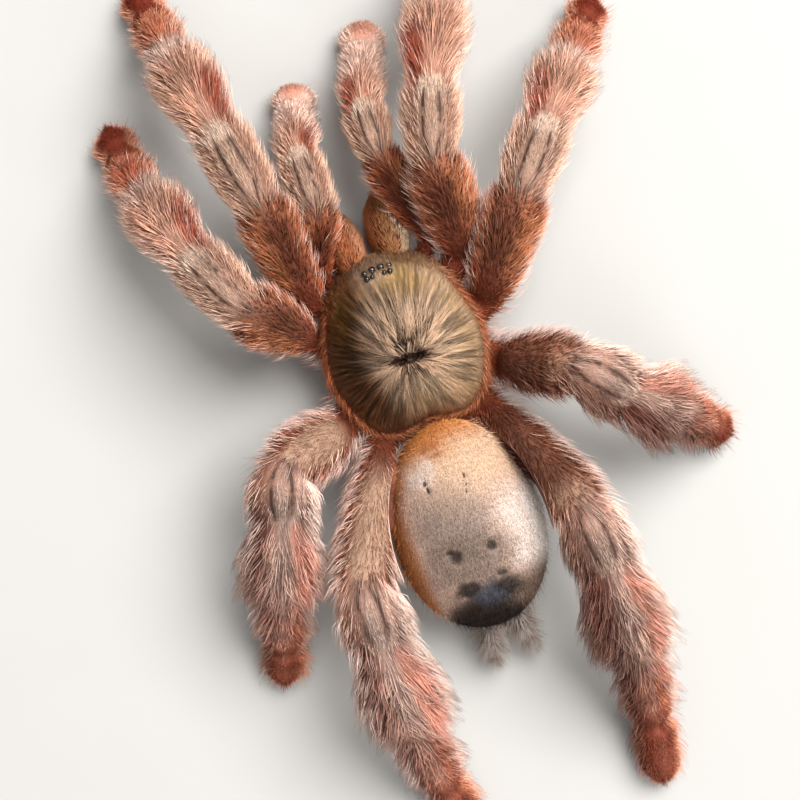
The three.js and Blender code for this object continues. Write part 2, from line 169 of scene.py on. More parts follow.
def level_way(angle):
    """Level directions at angles from straight ahead, counted towards her left."""
    return np.stack([np.sin(angle), -np.cos(angle)], axis=-1)


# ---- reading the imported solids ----


def node_mesh(name):
    """The corners, in millimetres, and the triangles of one solid."""
    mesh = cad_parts[name].data
    mesh.calc_loop_triangles()
    corners = np.empty(len(mesh.vertices) * 3)
    mesh.vertices.foreach_get("co", corners)
    triangles = np.empty(len(mesh.loop_triangles) * 3, np.int32)
    mesh.loop_triangles.foreach_get("vertices", triangles)
    return corners.reshape(-1, 3) / MM, triangles.reshape(-1, 3)


def flat_faces(name, kept=14, same_way=0.9995, same_plane=0.05):
    """The largest flat faces of a solid: area, normal, offset and middle."""
    corners, triangles = node_mesh(name)
    first, second, third = (corners[triangles[:, i]] for i in range(3))
    cross = np.cross(second - first, third - first)
    area = np.linalg.norm(cross, axis=1) / 2
    normal = unit(cross)
    offset = (normal * first).sum(1)
    middle = (first + second + third) / 3
    free = np.ones(len(area), bool)
    faces = []
    for i in np.argsort(-area):
        if free[i]:
            same = free & (normal @ normal[i] > same_way) & (abs(offset - offset[i]) < same_plane)
            free &= ~same
            weight = area[same]
            centre = (middle[same] * weight[:, None]).sum(0) / weight.sum()
            faces.append((weight.sum(), normal[i], offset[i], centre))
    return sorted(faces, key=lambda face: -face[0])[:kept]


def joint_between(name, other, gap=0.3, slack=0.1, opposite=-0.999):
    """The middle of the two end faces that look at each other across a joint."""
    found = []
    for area, normal, offset, centre in flat_faces(name):
        for other_area, other_normal, other_offset, other_centre in flat_faces(other):
            facing = normal @ other_normal < opposite
            if facing and abs(abs(offset + other_offset) - gap) < slack:
                found.append((min(area, other_area), (centre + other_centre) / 2))
    if not found:
        raise RuntimeError(f"{name} and {other} share no joint")
    return max(found, key=lambda pair: pair[0])[1]


def cut_points(corners, triangles, point, normal):
    """Where the edges of a solid cross a plane."""
    height = (corners - point) @ normal
    points = []
    for i, j in ((0, 1), (1, 2), (2, 0)):
        start, end = triangles[:, i], triangles[:, j]
        crossing = height[start] * height[end] < 0
        start, end = start[crossing], end[crossing]
        share = (height[start] / (height[start] - height[end]))[:, None]
        points.append(corners[start] + (corners[end] - corners[start]) * share)
    return np.concatenate(points)


def frame_along(tangent):
    """The side and upward directions of something that runs along a tangent."""
    side = unit(np.cross(tangent, UP))
    return side, np.cross(side, tangent)


def half_sizes(name, start, end):
    """Half width and half height of a solid along a stretch, as parabolas over its share."""
    corners, triangles = node_mesh(name)
    tangent = unit(end - start)
    side, upward = frame_along(tangent)
    sizes = []
    for share in GIRTH_SHARES:
        cut = cut_points(corners, triangles, start + (end - start) * share, tangent)
        sizes.append([np.ptp(cut @ side) / 2, np.ptp(cut @ upward) / 2])
    return np.polyfit(GIRTH_SHARES, np.array(sizes), 2)


def bend_and_tip(name, ankle, cuts=19, stretch=(0.15, 0.93)):
    """The bend and the tip of a foot's middle line, from upright cuts across it."""
    corners, triangles = node_mesh(name)
    away = corners - ankle
    heading = away[np.argmax(np.hypot(away[:, 0], away[:, 1]))] * (1, 1, 0)
    reach = np.linalg.norm(heading)
    heading /= reach
    middles = []
    for share in np.linspace(*stretch, cuts):
        cut = cut_points(corners, triangles, ankle + heading * reach * share, heading)
        middles.append((cut.min(0) + cut.max(0)) / 2)
    middles = np.array(middles)
    chord = unit(middles[-1] - middles[0])
    off = middles - middles[0]
    distance = np.linalg.norm(off - np.outer(off @ chord, chord), axis=1)
    tip = ankle + heading * reach
    tip[2] = middles[-1][2]
    return middles[np.argmax(distance)], tip


def eased(values, spread):
    """Values along a path, smoothed with its ends held in place."""
    reach = int(math.ceil(3 * spread))
    weights = np.exp(-0.5 * (np.arange(-reach, reach + 1) / spread) ** 2)
    weights /= weights.sum()
    before = 2 * values[0] - values[reach:0:-1]
    after = 2 * values[-1] - values[-2:-reach - 2:-1]
    padded = np.concatenate([before, values, after])
    if values.ndim == 1:
        return np.convolve(padded, weights, "valid")
    return np.stack([np.convolve(column, weights, "valid") for column in padded.T], axis=1)


def beside_belly(places):
    """Places moved level out of the abdomen's outline, where they lie over or under it."""
    local = BELLY.local(places)
    level = local * (1, 1, 0)
    reach = np.linalg.norm(level, axis=1)
    outline = BELLY.terms(level / np.maximum(reach, TINY)[:, None]) @ BELLY.curve * BELLY_ROOM
    pushed = np.sqrt(np.maximum(outline**2 - local[:, 1] ** 2, 0))
    inside = (reach < outline) & (abs(local[:, 0]) > BELLY_MIDDLE)
    pushed = np.where(inside, np.maximum(pushed - abs(local[:, 0]), 0) * np.sign(local[:, 0]), 0)
    return places + (pushed * BELLY.half[0])[:, None] * BELLY.axes[0]


class Limb:
    """The middle line of a leg or a palp, with the girth of its coat and of its skin."""

    def __init__(self, name, parts):
        self.name = name
        self.nodes = [f"{name}_{part}" for part in parts]
        self.shag = SHAG[name]
        self.ragged = max(self.shag, 0.0)
        self.hand = -1 if "right" in name and self.shag < PAIRED_MARKS else 1
        joints, holders, stations = self.joints()
        points, station, sizes = [], [], []
        for i, holder in enumerate(holders):
            start, end = joints[i], joints[i + 1]
            curve = half_sizes(holder, start, end)
            count = max(2, round(np.linalg.norm(end - start) / PATH_STEP))
            share = np.arange(count) / count
            points.append(start + (end - start) * share[:, None])
            station.append(stations[i] + (stations[i + 1] - stations[i]) * share)
            sizes.append(np.stack([np.polyval(curve[:, axis], share) for axis in (0, 1)], axis=1))
        spread = PATH_EASE / PATH_STEP
        self.points = eased(np.concatenate(points), spread)
        self.station = np.concatenate(station)
        self.coat = np.maximum(eased(np.concatenate(sizes), spread), THINNEST)
        self.tangent = unit(np.gradient(self.points, axis=0))
        self.side, self.upward = frame_along(self.tangent)
        steps = np.linalg.norm(np.diff(self.points, axis=0), axis=1)
        self.length = np.concatenate([[0], np.cumsum(steps)])
        self.flesh = self.coat - by_station(COAT_DEPTH, self.station)[:, None] * DEPTH_SHARES
        self.flesh *= self.pinch()[:, None]
        self.end = self.length[-1] - by_station(COAT_DEPTH, STATIONS)

    def joints(self):
        """The joints, the solid that holds each stretch between them, and their stations."""
        inner = [joint_between(a, b) for a, b in zip(self.nodes, self.nodes[1:])]
        corners, triangles = node_mesh(self.nodes[0])
        root = 2 * corners[triangles].mean((0, 1)) - inner[0]
        last = self.nodes[-1]
        if len(self.nodes) == len(LEG_PARTS):
            bend, tip = bend_and_tip(last, inner[-1])
            stations = [0, 1, 2, 3, 4, 5, 6]
        else:
            corners = node_mesh(last)[0]
            tip = corners[np.argmax(np.linalg.norm(corners - inner[-1], axis=1))]
            bend = inner[-1] + (tip - inner[-1]) * PALP_TARSUS_SHARE
            stations = [0, 1, 2, 3, 4, 6]
        return [root, *inner, bend, tip], [*self.nodes, last], stations

    def pinch(self):
        """How much the skin draws in at each joint."""
        share = np.ones(len(self.station))
        for joint, depth in JOINT_PINCH:
            at = self.length[np.argmin(abs(self.station - joint))]
            share -= depth * np.exp(-((self.length - at) / PINCH_REACH) ** 2)
        return share

    def notch(self, where):
        """The share of its length that a hair keeps near the joints."""
        share = np.ones(len(where))
        for station, depth in NOTCHES:
            at = self.length[np.argmin(abs(self.station - station))]
            share -= depth * np.exp(-((where - at) / NOTCH_REACH) ** 2)
        return share

    def at(self, where, values):
        if values.ndim == 1:
            return np.interp(where, self.length, values)
        columns = [np.interp(where, self.length, column) for column in values.T]
        return np.stack(columns, axis=-1)

    def dome(self, where):
        """The share of its girth that the rounded tip keeps, and how far it has turned."""
        share = np.clip((where - self.end + TIP_DOME) / TIP_DOME, 0, 1)
        return np.sqrt(np.maximum(1 - share * share, 0)), share

    def ring(self, where, angle, girth):
        """Places and outward directions at a distance along the limb and an angle about it."""
        round_off, turned = self.dome(where)
        size = self.at(where, girth) * round_off[:, None]
        side, upward, tangent = (self.at(where, v) for v in (self.side, self.upward, self.tangent))
        sine, cosine = np.sin(angle)[:, None], np.cos(angle)[:, None]
        wide, tall = size[:, :1], size[:, 1:]
        place = self.at(where, self.points) + side * wide * sine + upward * tall * cosine
        radial = unit(side * sine * (tall + TINY) + upward * cosine * (wide + TINY))
        return beside_belly(place), unit(radial * round_off[:, None] + tangent * turned[:, None])

    def tube(self):
        """The skin of the limb as a closed tube of rings."""
        where = np.append(np.arange(0, self.end, PATH_STEP), self.end - PATH_STEP / 8)
        corners = self.ring(*crossed(where, circle(TUBE_SIDES)), self.flesh)[0]
        return corners, tube_faces(len(where), TUBE_SIDES)


def tube_faces(rings, sides):
    """The four-sided faces of a tube, with one face on each end."""
    faces = []
    for ring in range(rings - 1):
        for i in range(sides):
            j = (i + 1) % sides
            low, high = ring * sides, (ring + 1) * sides
            faces.append((low + i, low + j, high + j, high + i))
    faces.append(tuple(reversed(range(sides))))
    faces.append(tuple(range((rings - 1) * sides, rings * sides)))
    return faces


class Oval:
    """A smooth closed surface through the corners of a rounded solid."""

    def __init__(self, name):
        corners = np.unique(node_mesh(name)[0].round(3), axis=0)
        self.name = name
        centre = (corners.min(0) + corners.max(0)) / 2
        axes = np.linalg.svd(corners - corners.mean(0), full_matrices=False)[2]
        order = [int(np.argmax(abs(axes[:, i]))) for i in range(3)]
        if sorted(order) != [0, 1, 2]:
            order, axes = [0, 1, 2], np.eye(3)
        self.axes = np.stack([axes[row] * np.sign(axes[row][i]) for i, row in enumerate(order)])
        local = (corners - centre) @ self.axes.T
        shift = (local.min(0) + local.max(0)) / 2
        self.centre = centre + shift @ self.axes
        self.half = np.ptp(local, axis=0) / 2
        scaled = (local - shift) / self.half
        radius = np.linalg.norm(scaled, axis=1)
        terms = self.terms(scaled / radius[:, None])
        self.curve = np.linalg.lstsq(terms, radius, rcond=None)[0]

    @staticmethod
    def terms(direction):
        """The products of a direction's parts, up to the third power."""
        x, y, z = direction.T
        rows = [x**i * y**j * z**k for i in range(4) for j in range(4 - i) for k in range(4 - i - j)]
        return np.stack(rows, axis=1)

    def surface(self, direction, depth=0.0):
        """Places on the surface, drawn in by a depth, and their outward directions."""
        outward = unit((direction / self.half) @ self.axes)
        local = direction * self.half * (self.terms(direction) @ self.curve)[:, None]
        return self.centre + local @ self.axes - outward * depth, outward

    def local(self, places):
        """Places as shares of the half sizes, across, along and up."""
        return (places - self.centre) @ self.axes.T / self.half

    def holds(self, places, depth):
        local = (places - self.centre) @ self.axes.T / (self.half - depth)
        return np.linalg.norm(local, axis=1) < 1

    def shell(self, depth, sides=48, rings=32):
        """The whole surface as a closed tube whose ends come to a point."""
        return self.surface(ball(sides, rings), depth)[0], tube_faces(rings, sides)


LIMBS = [Limb(f"palp_{side}", PALP_PARTS) for side in SIDES]
LIMBS += [Limb(f"leg_{side}_{rank}", LEG_PARTS) for side in SIDES for rank in (1, 2, 3, 4)]
BELLY = Oval("abdomen")
WAIST = Oval("pedicel")
JAWS = [Oval(f"chelicera_{side}") for side in SIDES]
SPINNERETS = [Oval(f"spinneret_{side}") for side in SIDES]

BELLY_DEPTH = 0.15
BELLY_ROOM = 1.015  # how far outside the abdomen's outline the legs pass it
BELLY_MIDDLE = 0.3  # what lies nearer to the abdomen's middle than this isn't moved aside
JAW_DEPTH = 0.25
SPINNERET_DEPTH = 0.45
WAIST_DEPTH = 0.1


def node_box(*names):
    """The lowest and highest corner, in millimetres, of one solid or of several together."""
    corners = np.array([[list(corner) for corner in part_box(name)] for name in names]) / MM
    return corners[:, 0].min(0), corners[:, 1].max(0)


EYE_LOW, EYE_HIGH = (corner[:2] for corner in node_box("eyes_left", "eyes_right"))
EYE_MIDDLE = (EYE_LOW + EYE_HIGH) / 2


# ---- the shield over her head and breast ----

SHIELD_SPOKES = 24
SHIELD_RINGS = 6
SHIELD_WAVES = 7
SHIELD_GRID = (360, 84)
SHIELD_THICK = 0.7
SHIELD_DEPTH = 0.22
RIM_ROUND = 0.3
SLIT = (1.3, 0.24)
SLIT_DEPTH = 0.6
SLIT_TURN = math.radians(-1)
SLIT_HOLD = 0.7  # how much the hair rays out from the slit's line and not from its middle
FURROW_DEPTH = 0.07
SHIELD_ROWS = 44
FORKS = (0.28, 0.42)  # where the rows fork in two, as shares of the way to the rim
FURROWED = (0.08, 0.25, 0.55, 0.8)  # where the furrows begin, are deepest and end, likewise
# How the rows wander, in four waves: size, turns, how they shift on their way out, and start.
RAY_WAVES = ((1.1, 3, 5, 0.7), (0.8, 7, 0, 1), (0.6, 11, -4, 2), (0.4, 19, 9, 0))
PIT_REACH = 3  # the pit lies no further than this from the middle of the shield
RIM_SPOKE = math.radians(1)  # half the width in which a spoke looks for the rim
RIM_INSIDE = 0.996  # the heights are read no further out than this
HEIGHT_POWER = 5
MOUND_RISE = 0.35
MOUND_SIZE = (1.75, 1.1)


def ray_phase(share, angle):
    """The turn of the hair rows at a place on the shield, with their wandering."""
    waves = [size * np.sin(turns * angle + out * share + start) for size, turns, out, start in RAY_WAVES]
    return SHIELD_ROWS * angle + ((waves[0] + waves[1]) + (waves[2] + waves[3]))


class Shield:
    """The smooth top of the shield, read from its solid in circles about the central pit."""

    def __init__(self):
        corners, triangles = node_mesh("carapace")
        low, high = corners.min(0), corners.max(0)
        middle = (low + high)[:2] / 2
        near = np.hypot(*(corners[:, :2] - middle).T) < PIT_REACH
        top = corners[near & (corners[:, 2] > (low[2] + high[2]) / 2)]
        self.pit = top[np.argmin(top[:, 2])][:2]
        off = corners[:, :2] - self.pit
        radius = np.hypot(*off.T)
        angle = np.arctan2(off[:, 0], -off[:, 1])
        tree = BVHTree.FromPolygons(corners.tolist(), triangles.tolist())
        rim, heights = [], []
        shares = np.sqrt(np.arange(SHIELD_RINGS + 1) / SHIELD_RINGS)
        for spoke in circle(SHIELD_SPOKES):
            near = abs(np.angle(np.exp(1j * (angle - spoke)))) < RIM_SPOKE
            reach = radius[near].max()
            rim.append(reach)
            outward = np.array([math.sin(spoke), -math.cos(spoke)])
            row = []
            for share in np.minimum(shares, RIM_INSIDE):
                x, y = self.pit + outward * reach * share
                hit = tree.ray_cast(Vector((x, y, high[2] + 1)), Vector((0, 0, -1)))[0]
                row.append(hit.z)
            heights.append(row)
        self.rim_waves = np.fft.rfft(rim)[:SHIELD_WAVES] / SHIELD_SPOKES
        waves = np.fft.rfft(np.array(heights), axis=0)[:SHIELD_WAVES] / SHIELD_SPOKES
        self.height_waves = [np.polyfit(shares, part.T, HEIGHT_POWER) for part in (waves.real, waves.imag)]
        self.mound = EYE_MIDDLE - self.pit

    def rim(self, angle):
        """The distance from the pit to the rim; angle 0 looks forward."""
        order = np.arange(SHIELD_WAVES)
        spin = np.exp(1j * np.multiply.outer(angle, order))
        return (spin * self.rim_waves * np.where(order > 0, 2, 1)).real.sum(-1)

    def level(self, share, angle):
        """The height of the shield's outline, hair included, at a share of the way to the rim."""
        total = 0
        for order in range(SHIELD_WAVES):
            real, imag = (np.polyval(part[:, order], share) for part in self.height_waves)
            wave = real * np.cos(order * angle) - imag * np.sin(order * angle)
            total = total + wave * (2 if order else 1)
        return total

    def furrows(self, share, angle):
        """Fine rays between the rows of hair, which fork on their way to the rim."""
        phase = ray_phase(share, angle)
        forked = smoothstep(share, *FORKS)
        fine = np.cos(phase) * (1 - forked) + np.cos(2 * phase) * forked
        return swell(share, *FURROWED) * fine

    def slit(self, offset):
        """How deep a place lies in the central slit, from 0 to 1."""
        cosine, sine = math.cos(SLIT_TURN), math.sin(SLIT_TURN)
        along = (offset[:, 0] * cosine + offset[:, 1] * sine) / SLIT[0]
        across = (offset[:, 1] * cosine - offset[:, 0] * sine) / SLIT[1]
        return np.exp(-(along**4) - across**2)

    def away_from_slit(self, offset):
        """The level direction that leads away from the central slit."""
        line = np.array([math.cos(SLIT_TURN), math.sin(SLIT_TURN)])
        along = np.clip(offset @ line, -SLIT[0], SLIT[0]) * SLIT_HOLD
        return unit(offset - along[:, None] * line)

    def plate(self, share, angle):
        """Places on the bare plate under the shield's hair."""
        offset = level_way(angle) * (self.rim(angle) * share)[:, None]
        mound = np.exp(-(((offset - self.mound) / MOUND_SIZE) ** 2).sum(-1))
        level = self.level(share, angle) - SHIELD_DEPTH + MOUND_RISE * mound
        level -= SLIT_DEPTH * self.slit(offset)
        level -= FURROW_DEPTH * self.furrows(share, angle)
        return np.concatenate([self.pit + offset, level[:, None]], axis=1)

    def outward(self, share, angle, step=0.02):
        """The outward direction of the plate, its furrows included."""
        along = self.plate(np.minimum(share + step, 1), angle) - self.plate(share - step, angle)
        about = self.plate(share, angle + step) - self.plate(share, angle - step)
        normal = unit(np.cross(about, along))
        return normal * np.sign(normal[:, 2:])

    def covers(self, places, margin=0.97):
        """Whether a place stands above the rim of the shield and inside it."""
        offset = places[:, :2] - self.pit
        angle = np.arctan2(offset[:, 0], -offset[:, 1])
        share = np.hypot(*offset.T) / self.rim(angle)
        level = self.level(np.minimum(share, 1), angle) - SHIELD_THICK
        return (share < margin) & (places[:, 2] > level)


SHIELD = Shield()


# ---- pieces ----


def add_piece(name, corners, faces, material, replaced=(), fields=None):
    """A mesh piece that rides on her body, with its fields of numbers for each corner.

    Its faces are a list, or an array where they all have the same number of corners.
    """
    mesh = bpy.data.meshes.new(name)
    if isinstance(faces, list):
        mesh.from_pydata((corners * MM).tolist(), [], faces)
    else:
        sides = faces.shape[1]
        mesh.vertices.add(len(corners))
        mesh.vertices.foreach_set("co", (corners * MM).astype(np.float32).ravel())
        mesh.loops.add(faces.size)
        mesh.loops.foreach_set("vertex_index", faces.ravel())
        mesh.polygons.add(len(faces))
        mesh.polygons.foreach_set("loop_start", np.arange(len(faces), dtype=np.int32) * sides)
    for field, values in (fields or {}).items():
        layer = mesh.attributes.new(field, "FLOAT_VECTOR", "POINT")
        layer.data.foreach_set("vector", values.astype(np.float32).ravel())
    mesh.update(calc_edges=True)
    mesh.shade_smooth()
    mesh.materials.append(material)
    piece = bpy.data.objects.new(name, mesh)
    bpy.context.scene.collection.objects.link(piece)
    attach(piece, BODY)
    if replaced:
        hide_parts(*replaced)
    return piece


class Coat:
    """Hairs of one piece, each a thin tapering solid, gathered in batches."""

    PATCH = 0.003  # how far a hair's colours spread on the unwrap
    CORNERS = np.array([90, 210, 330]) * math.pi / 180
    STRAIGHT = ((0, 1, 3), (1, 2, 3), (2, 0, 3), (0, 2, 1))
    BENT = ((0, 1, 4), (0, 4, 3), (1, 2, 5), (1, 5, 4), (2, 0, 3), (2, 3, 5), (3, 4, 6), (4, 5, 6),
            (5, 3, 6), (0, 2, 1))
    SUNK = 0.08  # how deep a root stands in the skin
    TAPER = 0.3  # the share of its width that a hair loses at its bend
    BULGE = 0.12  # how far the middle of a hair's patch stands above its sides

    def __init__(self):
        self.corners, self.faces, self.place, self.strand, self.spots = [], [], [], [], []
        self.count = 0

    def add(self, keep, roots, outward, stops, width, place, chance, spot, tone=1.0):
        """Adds the hairs to keep through their stops: one for a straight hair, two for a bent one.

        Their tone is 0 for the hair next to the skin, darkened partly as painted shade under the long
        hair, 1 for the long hair over it and 2 for the pale-tipped strays.
        """
        stops = [stop[keep] for stop in stops]
        parts = (roots, outward, width, place, chance, spot)
        roots, outward, width, place, chance, spot = (part[keep] for part in parts)
        along = unit(stops[0] - roots)
        across = unit(np.cross(along, outward))
        over = np.cross(across, along)
        lines = [roots - outward * self.SUNK, *stops]
        total = len(lines)
        rings, shares = [], []
        for i, middle in enumerate(lines[:-1]):
            size = width * (1 - self.TAPER * i)
            for corner in self.CORNERS:
                reach = across * math.cos(corner) + over * math.sin(corner)
                rings.append(middle + reach * size[:, None])
                shares.append(i / (total - 1))
        rings.append(lines[-1])
        shares.append(1)
        corners = np.stack(rings, axis=1)
        hairs, points = corners.shape[:2]
        faces = np.array(self.BENT if total > 2 else self.STRAIGHT, np.int32)
        starts = self.count + np.arange(hairs, dtype=np.int32) * points
        shares = np.broadcast_to(np.array(shares), (hairs, points))
        about = np.array([0, 0.5, 1] * (total - 1) + [0.5])
        lift = shares + np.array([0, self.BULGE, 0] * (total - 1) + [0])
        patch = np.stack([np.broadcast_to(about, lift.shape), lift], axis=-1) * self.PATCH
        self.corners.append(corners.reshape(-1, 3))
        self.faces.append((faces[None] + starts[:, None, None]).reshape(-1, 3))
        self.place.append(np.repeat(place, points, axis=0))
        strand = [shares, np.repeat(chance[:, None], points, 1), np.full((hairs, points), tone)]
        self.strand.append(np.stack(strand, axis=-1).reshape(-1, 3))
        self.spots.append((spot[:, None] * (1 - self.PATCH) + patch).reshape(-1, 2))
        self.count += hairs * points

    def piece(self, name, material, slot):
        """Joins the hairs to one piece, with its bake map."""
        faces = np.concatenate(self.faces)
        fields = {"place": np.concatenate(self.place), "strand": np.concatenate(self.strand)}
        made = add_piece(name, np.concatenate(self.corners), faces, material, fields=fields)
        spots = made.data.uv_layers.new(name="OFBake")
        spots.data.foreach_set("uv", np.concatenate(self.spots)[faces.ravel()].astype(np.float32).ravel())


def fullness(settings):
    """The share of the full number of hairs to grow."""
    return settings.fullness * 1.0


def drawn_together(roots, tips, share, leaders, rng):
    """Hair tips drawn towards the tip of the nearest leading hair, which makes locks."""
    leading = rng.choice(len(roots), max(1, len(roots) // leaders), replace=False)
    tree = KDTree(len(leading))
    for i, hair in enumerate(leading):
        tree.insert(roots[hair], i)
    tree.balance()
    nearest = leading[np.array([tree.find(root)[1] for root in roots])]
    return tips + (tips[nearest] - tips) * share[:, None], nearest


# ---- shader building ----


def linear(colour):
    """A screen colour as the light values that a shader takes."""
    parts = [part / 12.92 if part <= 0.04045 else ((part + 0.055) / 1.055) ** 2.4 for part in colour]
    return (*parts, 1.0)


def sum_of(operation, swapped=False):
    """A method that adds one of the shader's own sums, on a value and another one if it takes two."""

    def method(wire, *others):
        values = (*others, wire) if swapped else (wire, *others)
        return wire.shader.node("ShaderNodeMath", {"operation": operation}, dict(enumerate(values)))

    return method


class Wire:
    """A value in a shader; Python's operators on it add the shader's own sums."""

    def __init__(self, shader, socket):
        self.shader = shader
        self.socket = socket

    __add__, __radd__ = sum_of("ADD"), sum_of("ADD", swapped=True)
    __sub__, __rsub__ = sum_of("SUBTRACT"), sum_of("SUBTRACT", swapped=True)
    __mul__, __rmul__ = sum_of("MULTIPLY"), sum_of("MULTIPLY", swapped=True)
    __truediv__ = sum_of("DIVIDE")
    __pow__ = sum_of("POWER")
    __abs__ = sum_of("ABSOLUTE")


class Shader:
    """One material, built node by node."""

    def __init__(self, name, **uniform):
        self.material = bpy.data.materials.new(name)
        self.material.use_nodes = True
        self.tree = self.material.node_tree
        self.tree.nodes.clear()
        self.surface = self.tree.nodes.new("ShaderNodeBsdfPrincipled")
        output = self.tree.nodes.new("ShaderNodeOutputMaterial")
        self.tree.links.new(self.surface.outputs["BSDF"], output.inputs["Surface"])
        for socket, value in uniform.items():
            self.surface.inputs[socket.replace("_", " ")].default_value = value

    def node(self, kind, settings=None, values=None, output=0):
        """Adds a node, its settings first and then the values or links of its sockets."""
        made = self.tree.nodes.new(kind)
        for key, value in (settings or {}).items():
            if key == "stops":
                self.fill_ramp(made.color_ramp, value)
            else:
                setattr(made, key, value)
        for key, value in (values or {}).items():
            self.feed(made.inputs[key], value)
        return Wire(self, made.outputs[output])

    def feed(self, socket, value):
        if isinstance(value, Wire):
            self.tree.links.new(value.socket, socket)
        else:
            socket.default_value = value

    @staticmethod
    def fill_ramp(ramp, stops):
        while len(ramp.elements) < len(stops):
            ramp.elements.new(1.0)
        for element, (position, colour) in zip(ramp.elements, stops):
            element.position = position
            element.color = linear(colour)

    def set(self, socket, value):
        self.feed(self.surface.inputs[socket], value)

    def field(self, name):
        """The three parts of a field of numbers on the mesh."""
        vector = self.node("ShaderNodeAttribute", {"attribute_name": name}, output="Vector")
        parts = self.node("ShaderNodeSeparateXYZ", values={0: vector})
        return [Wire(self, socket) for socket in parts.socket.node.outputs]

    def ramp(self, value, stops):
        return self.node("ShaderNodeValToRGB", {"stops": stops}, {0: value})

    def rise(self, value, start, end):
        """A soft step from 0 at the start to 1 at the end."""
        values = {"Value": value, "From Min": start, "From Max": end}
        return self.node("ShaderNodeMapRange", {"interpolation_type": "SMOOTHSTEP"}, values)

    def within(self, value, start, full, ebb, end):
        """A mask that is full between two values and fades beyond them."""
        return self.rise(value, start, full) * self.rise(value, end, ebb)

    def spot(self, across, along, centre, size):
        """A round mask about a centre."""
        far = ((across - centre[0]) / size[0]) ** 2 + ((along - centre[1]) / size[1]) ** 2
        return self.rise(far, 1.0, 0.1)

    def mix(self, factor, first, second):
        values = {0: factor, 6: first, 7: second}
        return self.node("ShaderNodeMix", {"data_type": "RGBA"}, values, output=2)

    def over(self, base, mask, colour):
        """A screen colour laid over a base as far as a mask says."""
        return self.mix(mask, base, linear(colour))

    def shaded(self, colour, value):
        """A colour made darker or lighter by a value."""
        colour = colour if isinstance(colour, Wire) else colour[:3]
        return self.node("ShaderNodeVectorMath", {"operation": "SCALE"}, {0: colour, "Scale": value})

    def noise(self, scale, detail=2.0, stretch=(1.0, 1.0, 1.0)):
        place = self.node("ShaderNodeTexCoord", output="Object")
        moved = self.node("ShaderNodeMapping", values={"Vector": place, "Scale": stretch})
        values = {"Vector": moved, "Scale": scale, "Detail": detail}
        return self.node("ShaderNodeTexNoise", values=values)

    def bump(self, height, distance):
        values = {"Height": height, "Distance": distance * MM}
        self.set("Normal", self.node("ShaderNodeBump", values=values, output="Normal"))


# ---- markings, shared by skin and coat ----

WHOLE = (1.0, 1.0, 1.0, 1.0)  # a mask that is full everywhere


# Colour by station, along the tips of neat and of ragged hair and along its roots.
NEAT_TIPS = (
    (0.2, "rust"), (1.3, "rust"), (1.6, "amber"), (1.93, "amber"), (1.98, "joint_line"),
    (2.04, "joint_line"), (2.1, "knee"), (2.8, "knee"), (3.15, "blush"), (3.7, "blush"),
    (3.9, "shell"), (4.04, "shell"), (4.15, "rose"), (4.4, "rose"), (4.5, "apricot"),
    (4.6, "apricot"), (4.75, "rose"), (6.0, "rose"),
)
RAGGED_TIPS = (
    (0.2, "rust"), (1.1, "amber"), (1.4, "fawn"), (1.94, "fawn"), (2.0, "joint_line"),
    (2.08, "ash_rose"), (2.98, "ash_rose"), (3.2, "ash_rose"), (4.2, "ash_rose"), (4.8, "rose"),
    (6.0, "rose"),
)
HAIR_ROOTS = (
    (0.2, "russet"), (1.4, "umber"), (1.96, "umber"), (2.04, "cocoa"), (2.9, "taupe"),
    (3.1, "cocoa"), (3.9, "cocoa"), (4.1, "russet"), (5.0, "maroon"), (6.0, "maroon"),
)
LINES = (2.02, 2.1, 2.78, 2.92)  # the stations between which the bare lines run
LINE_EDGE = (0.4, 1.1)  # where the coat starts beside a line and is full, in widths of a line
DARKER_LEGS = (0.5, 0.6, 0.82, 0.93)  # of all shags, those of the two darker rear legs
BRICK_FOOT = (0.27, 0.29, 0.4, 0.5)  # and that of the leg whose foot has a brick red patch
THIGH = (0.9, 1.2, 1.85, 1.98)
LINES_PART = (1.95, 2.3)  # the stations between which the bare lines part, and draw together again
LINES_MEET = (2.6, 3.0)


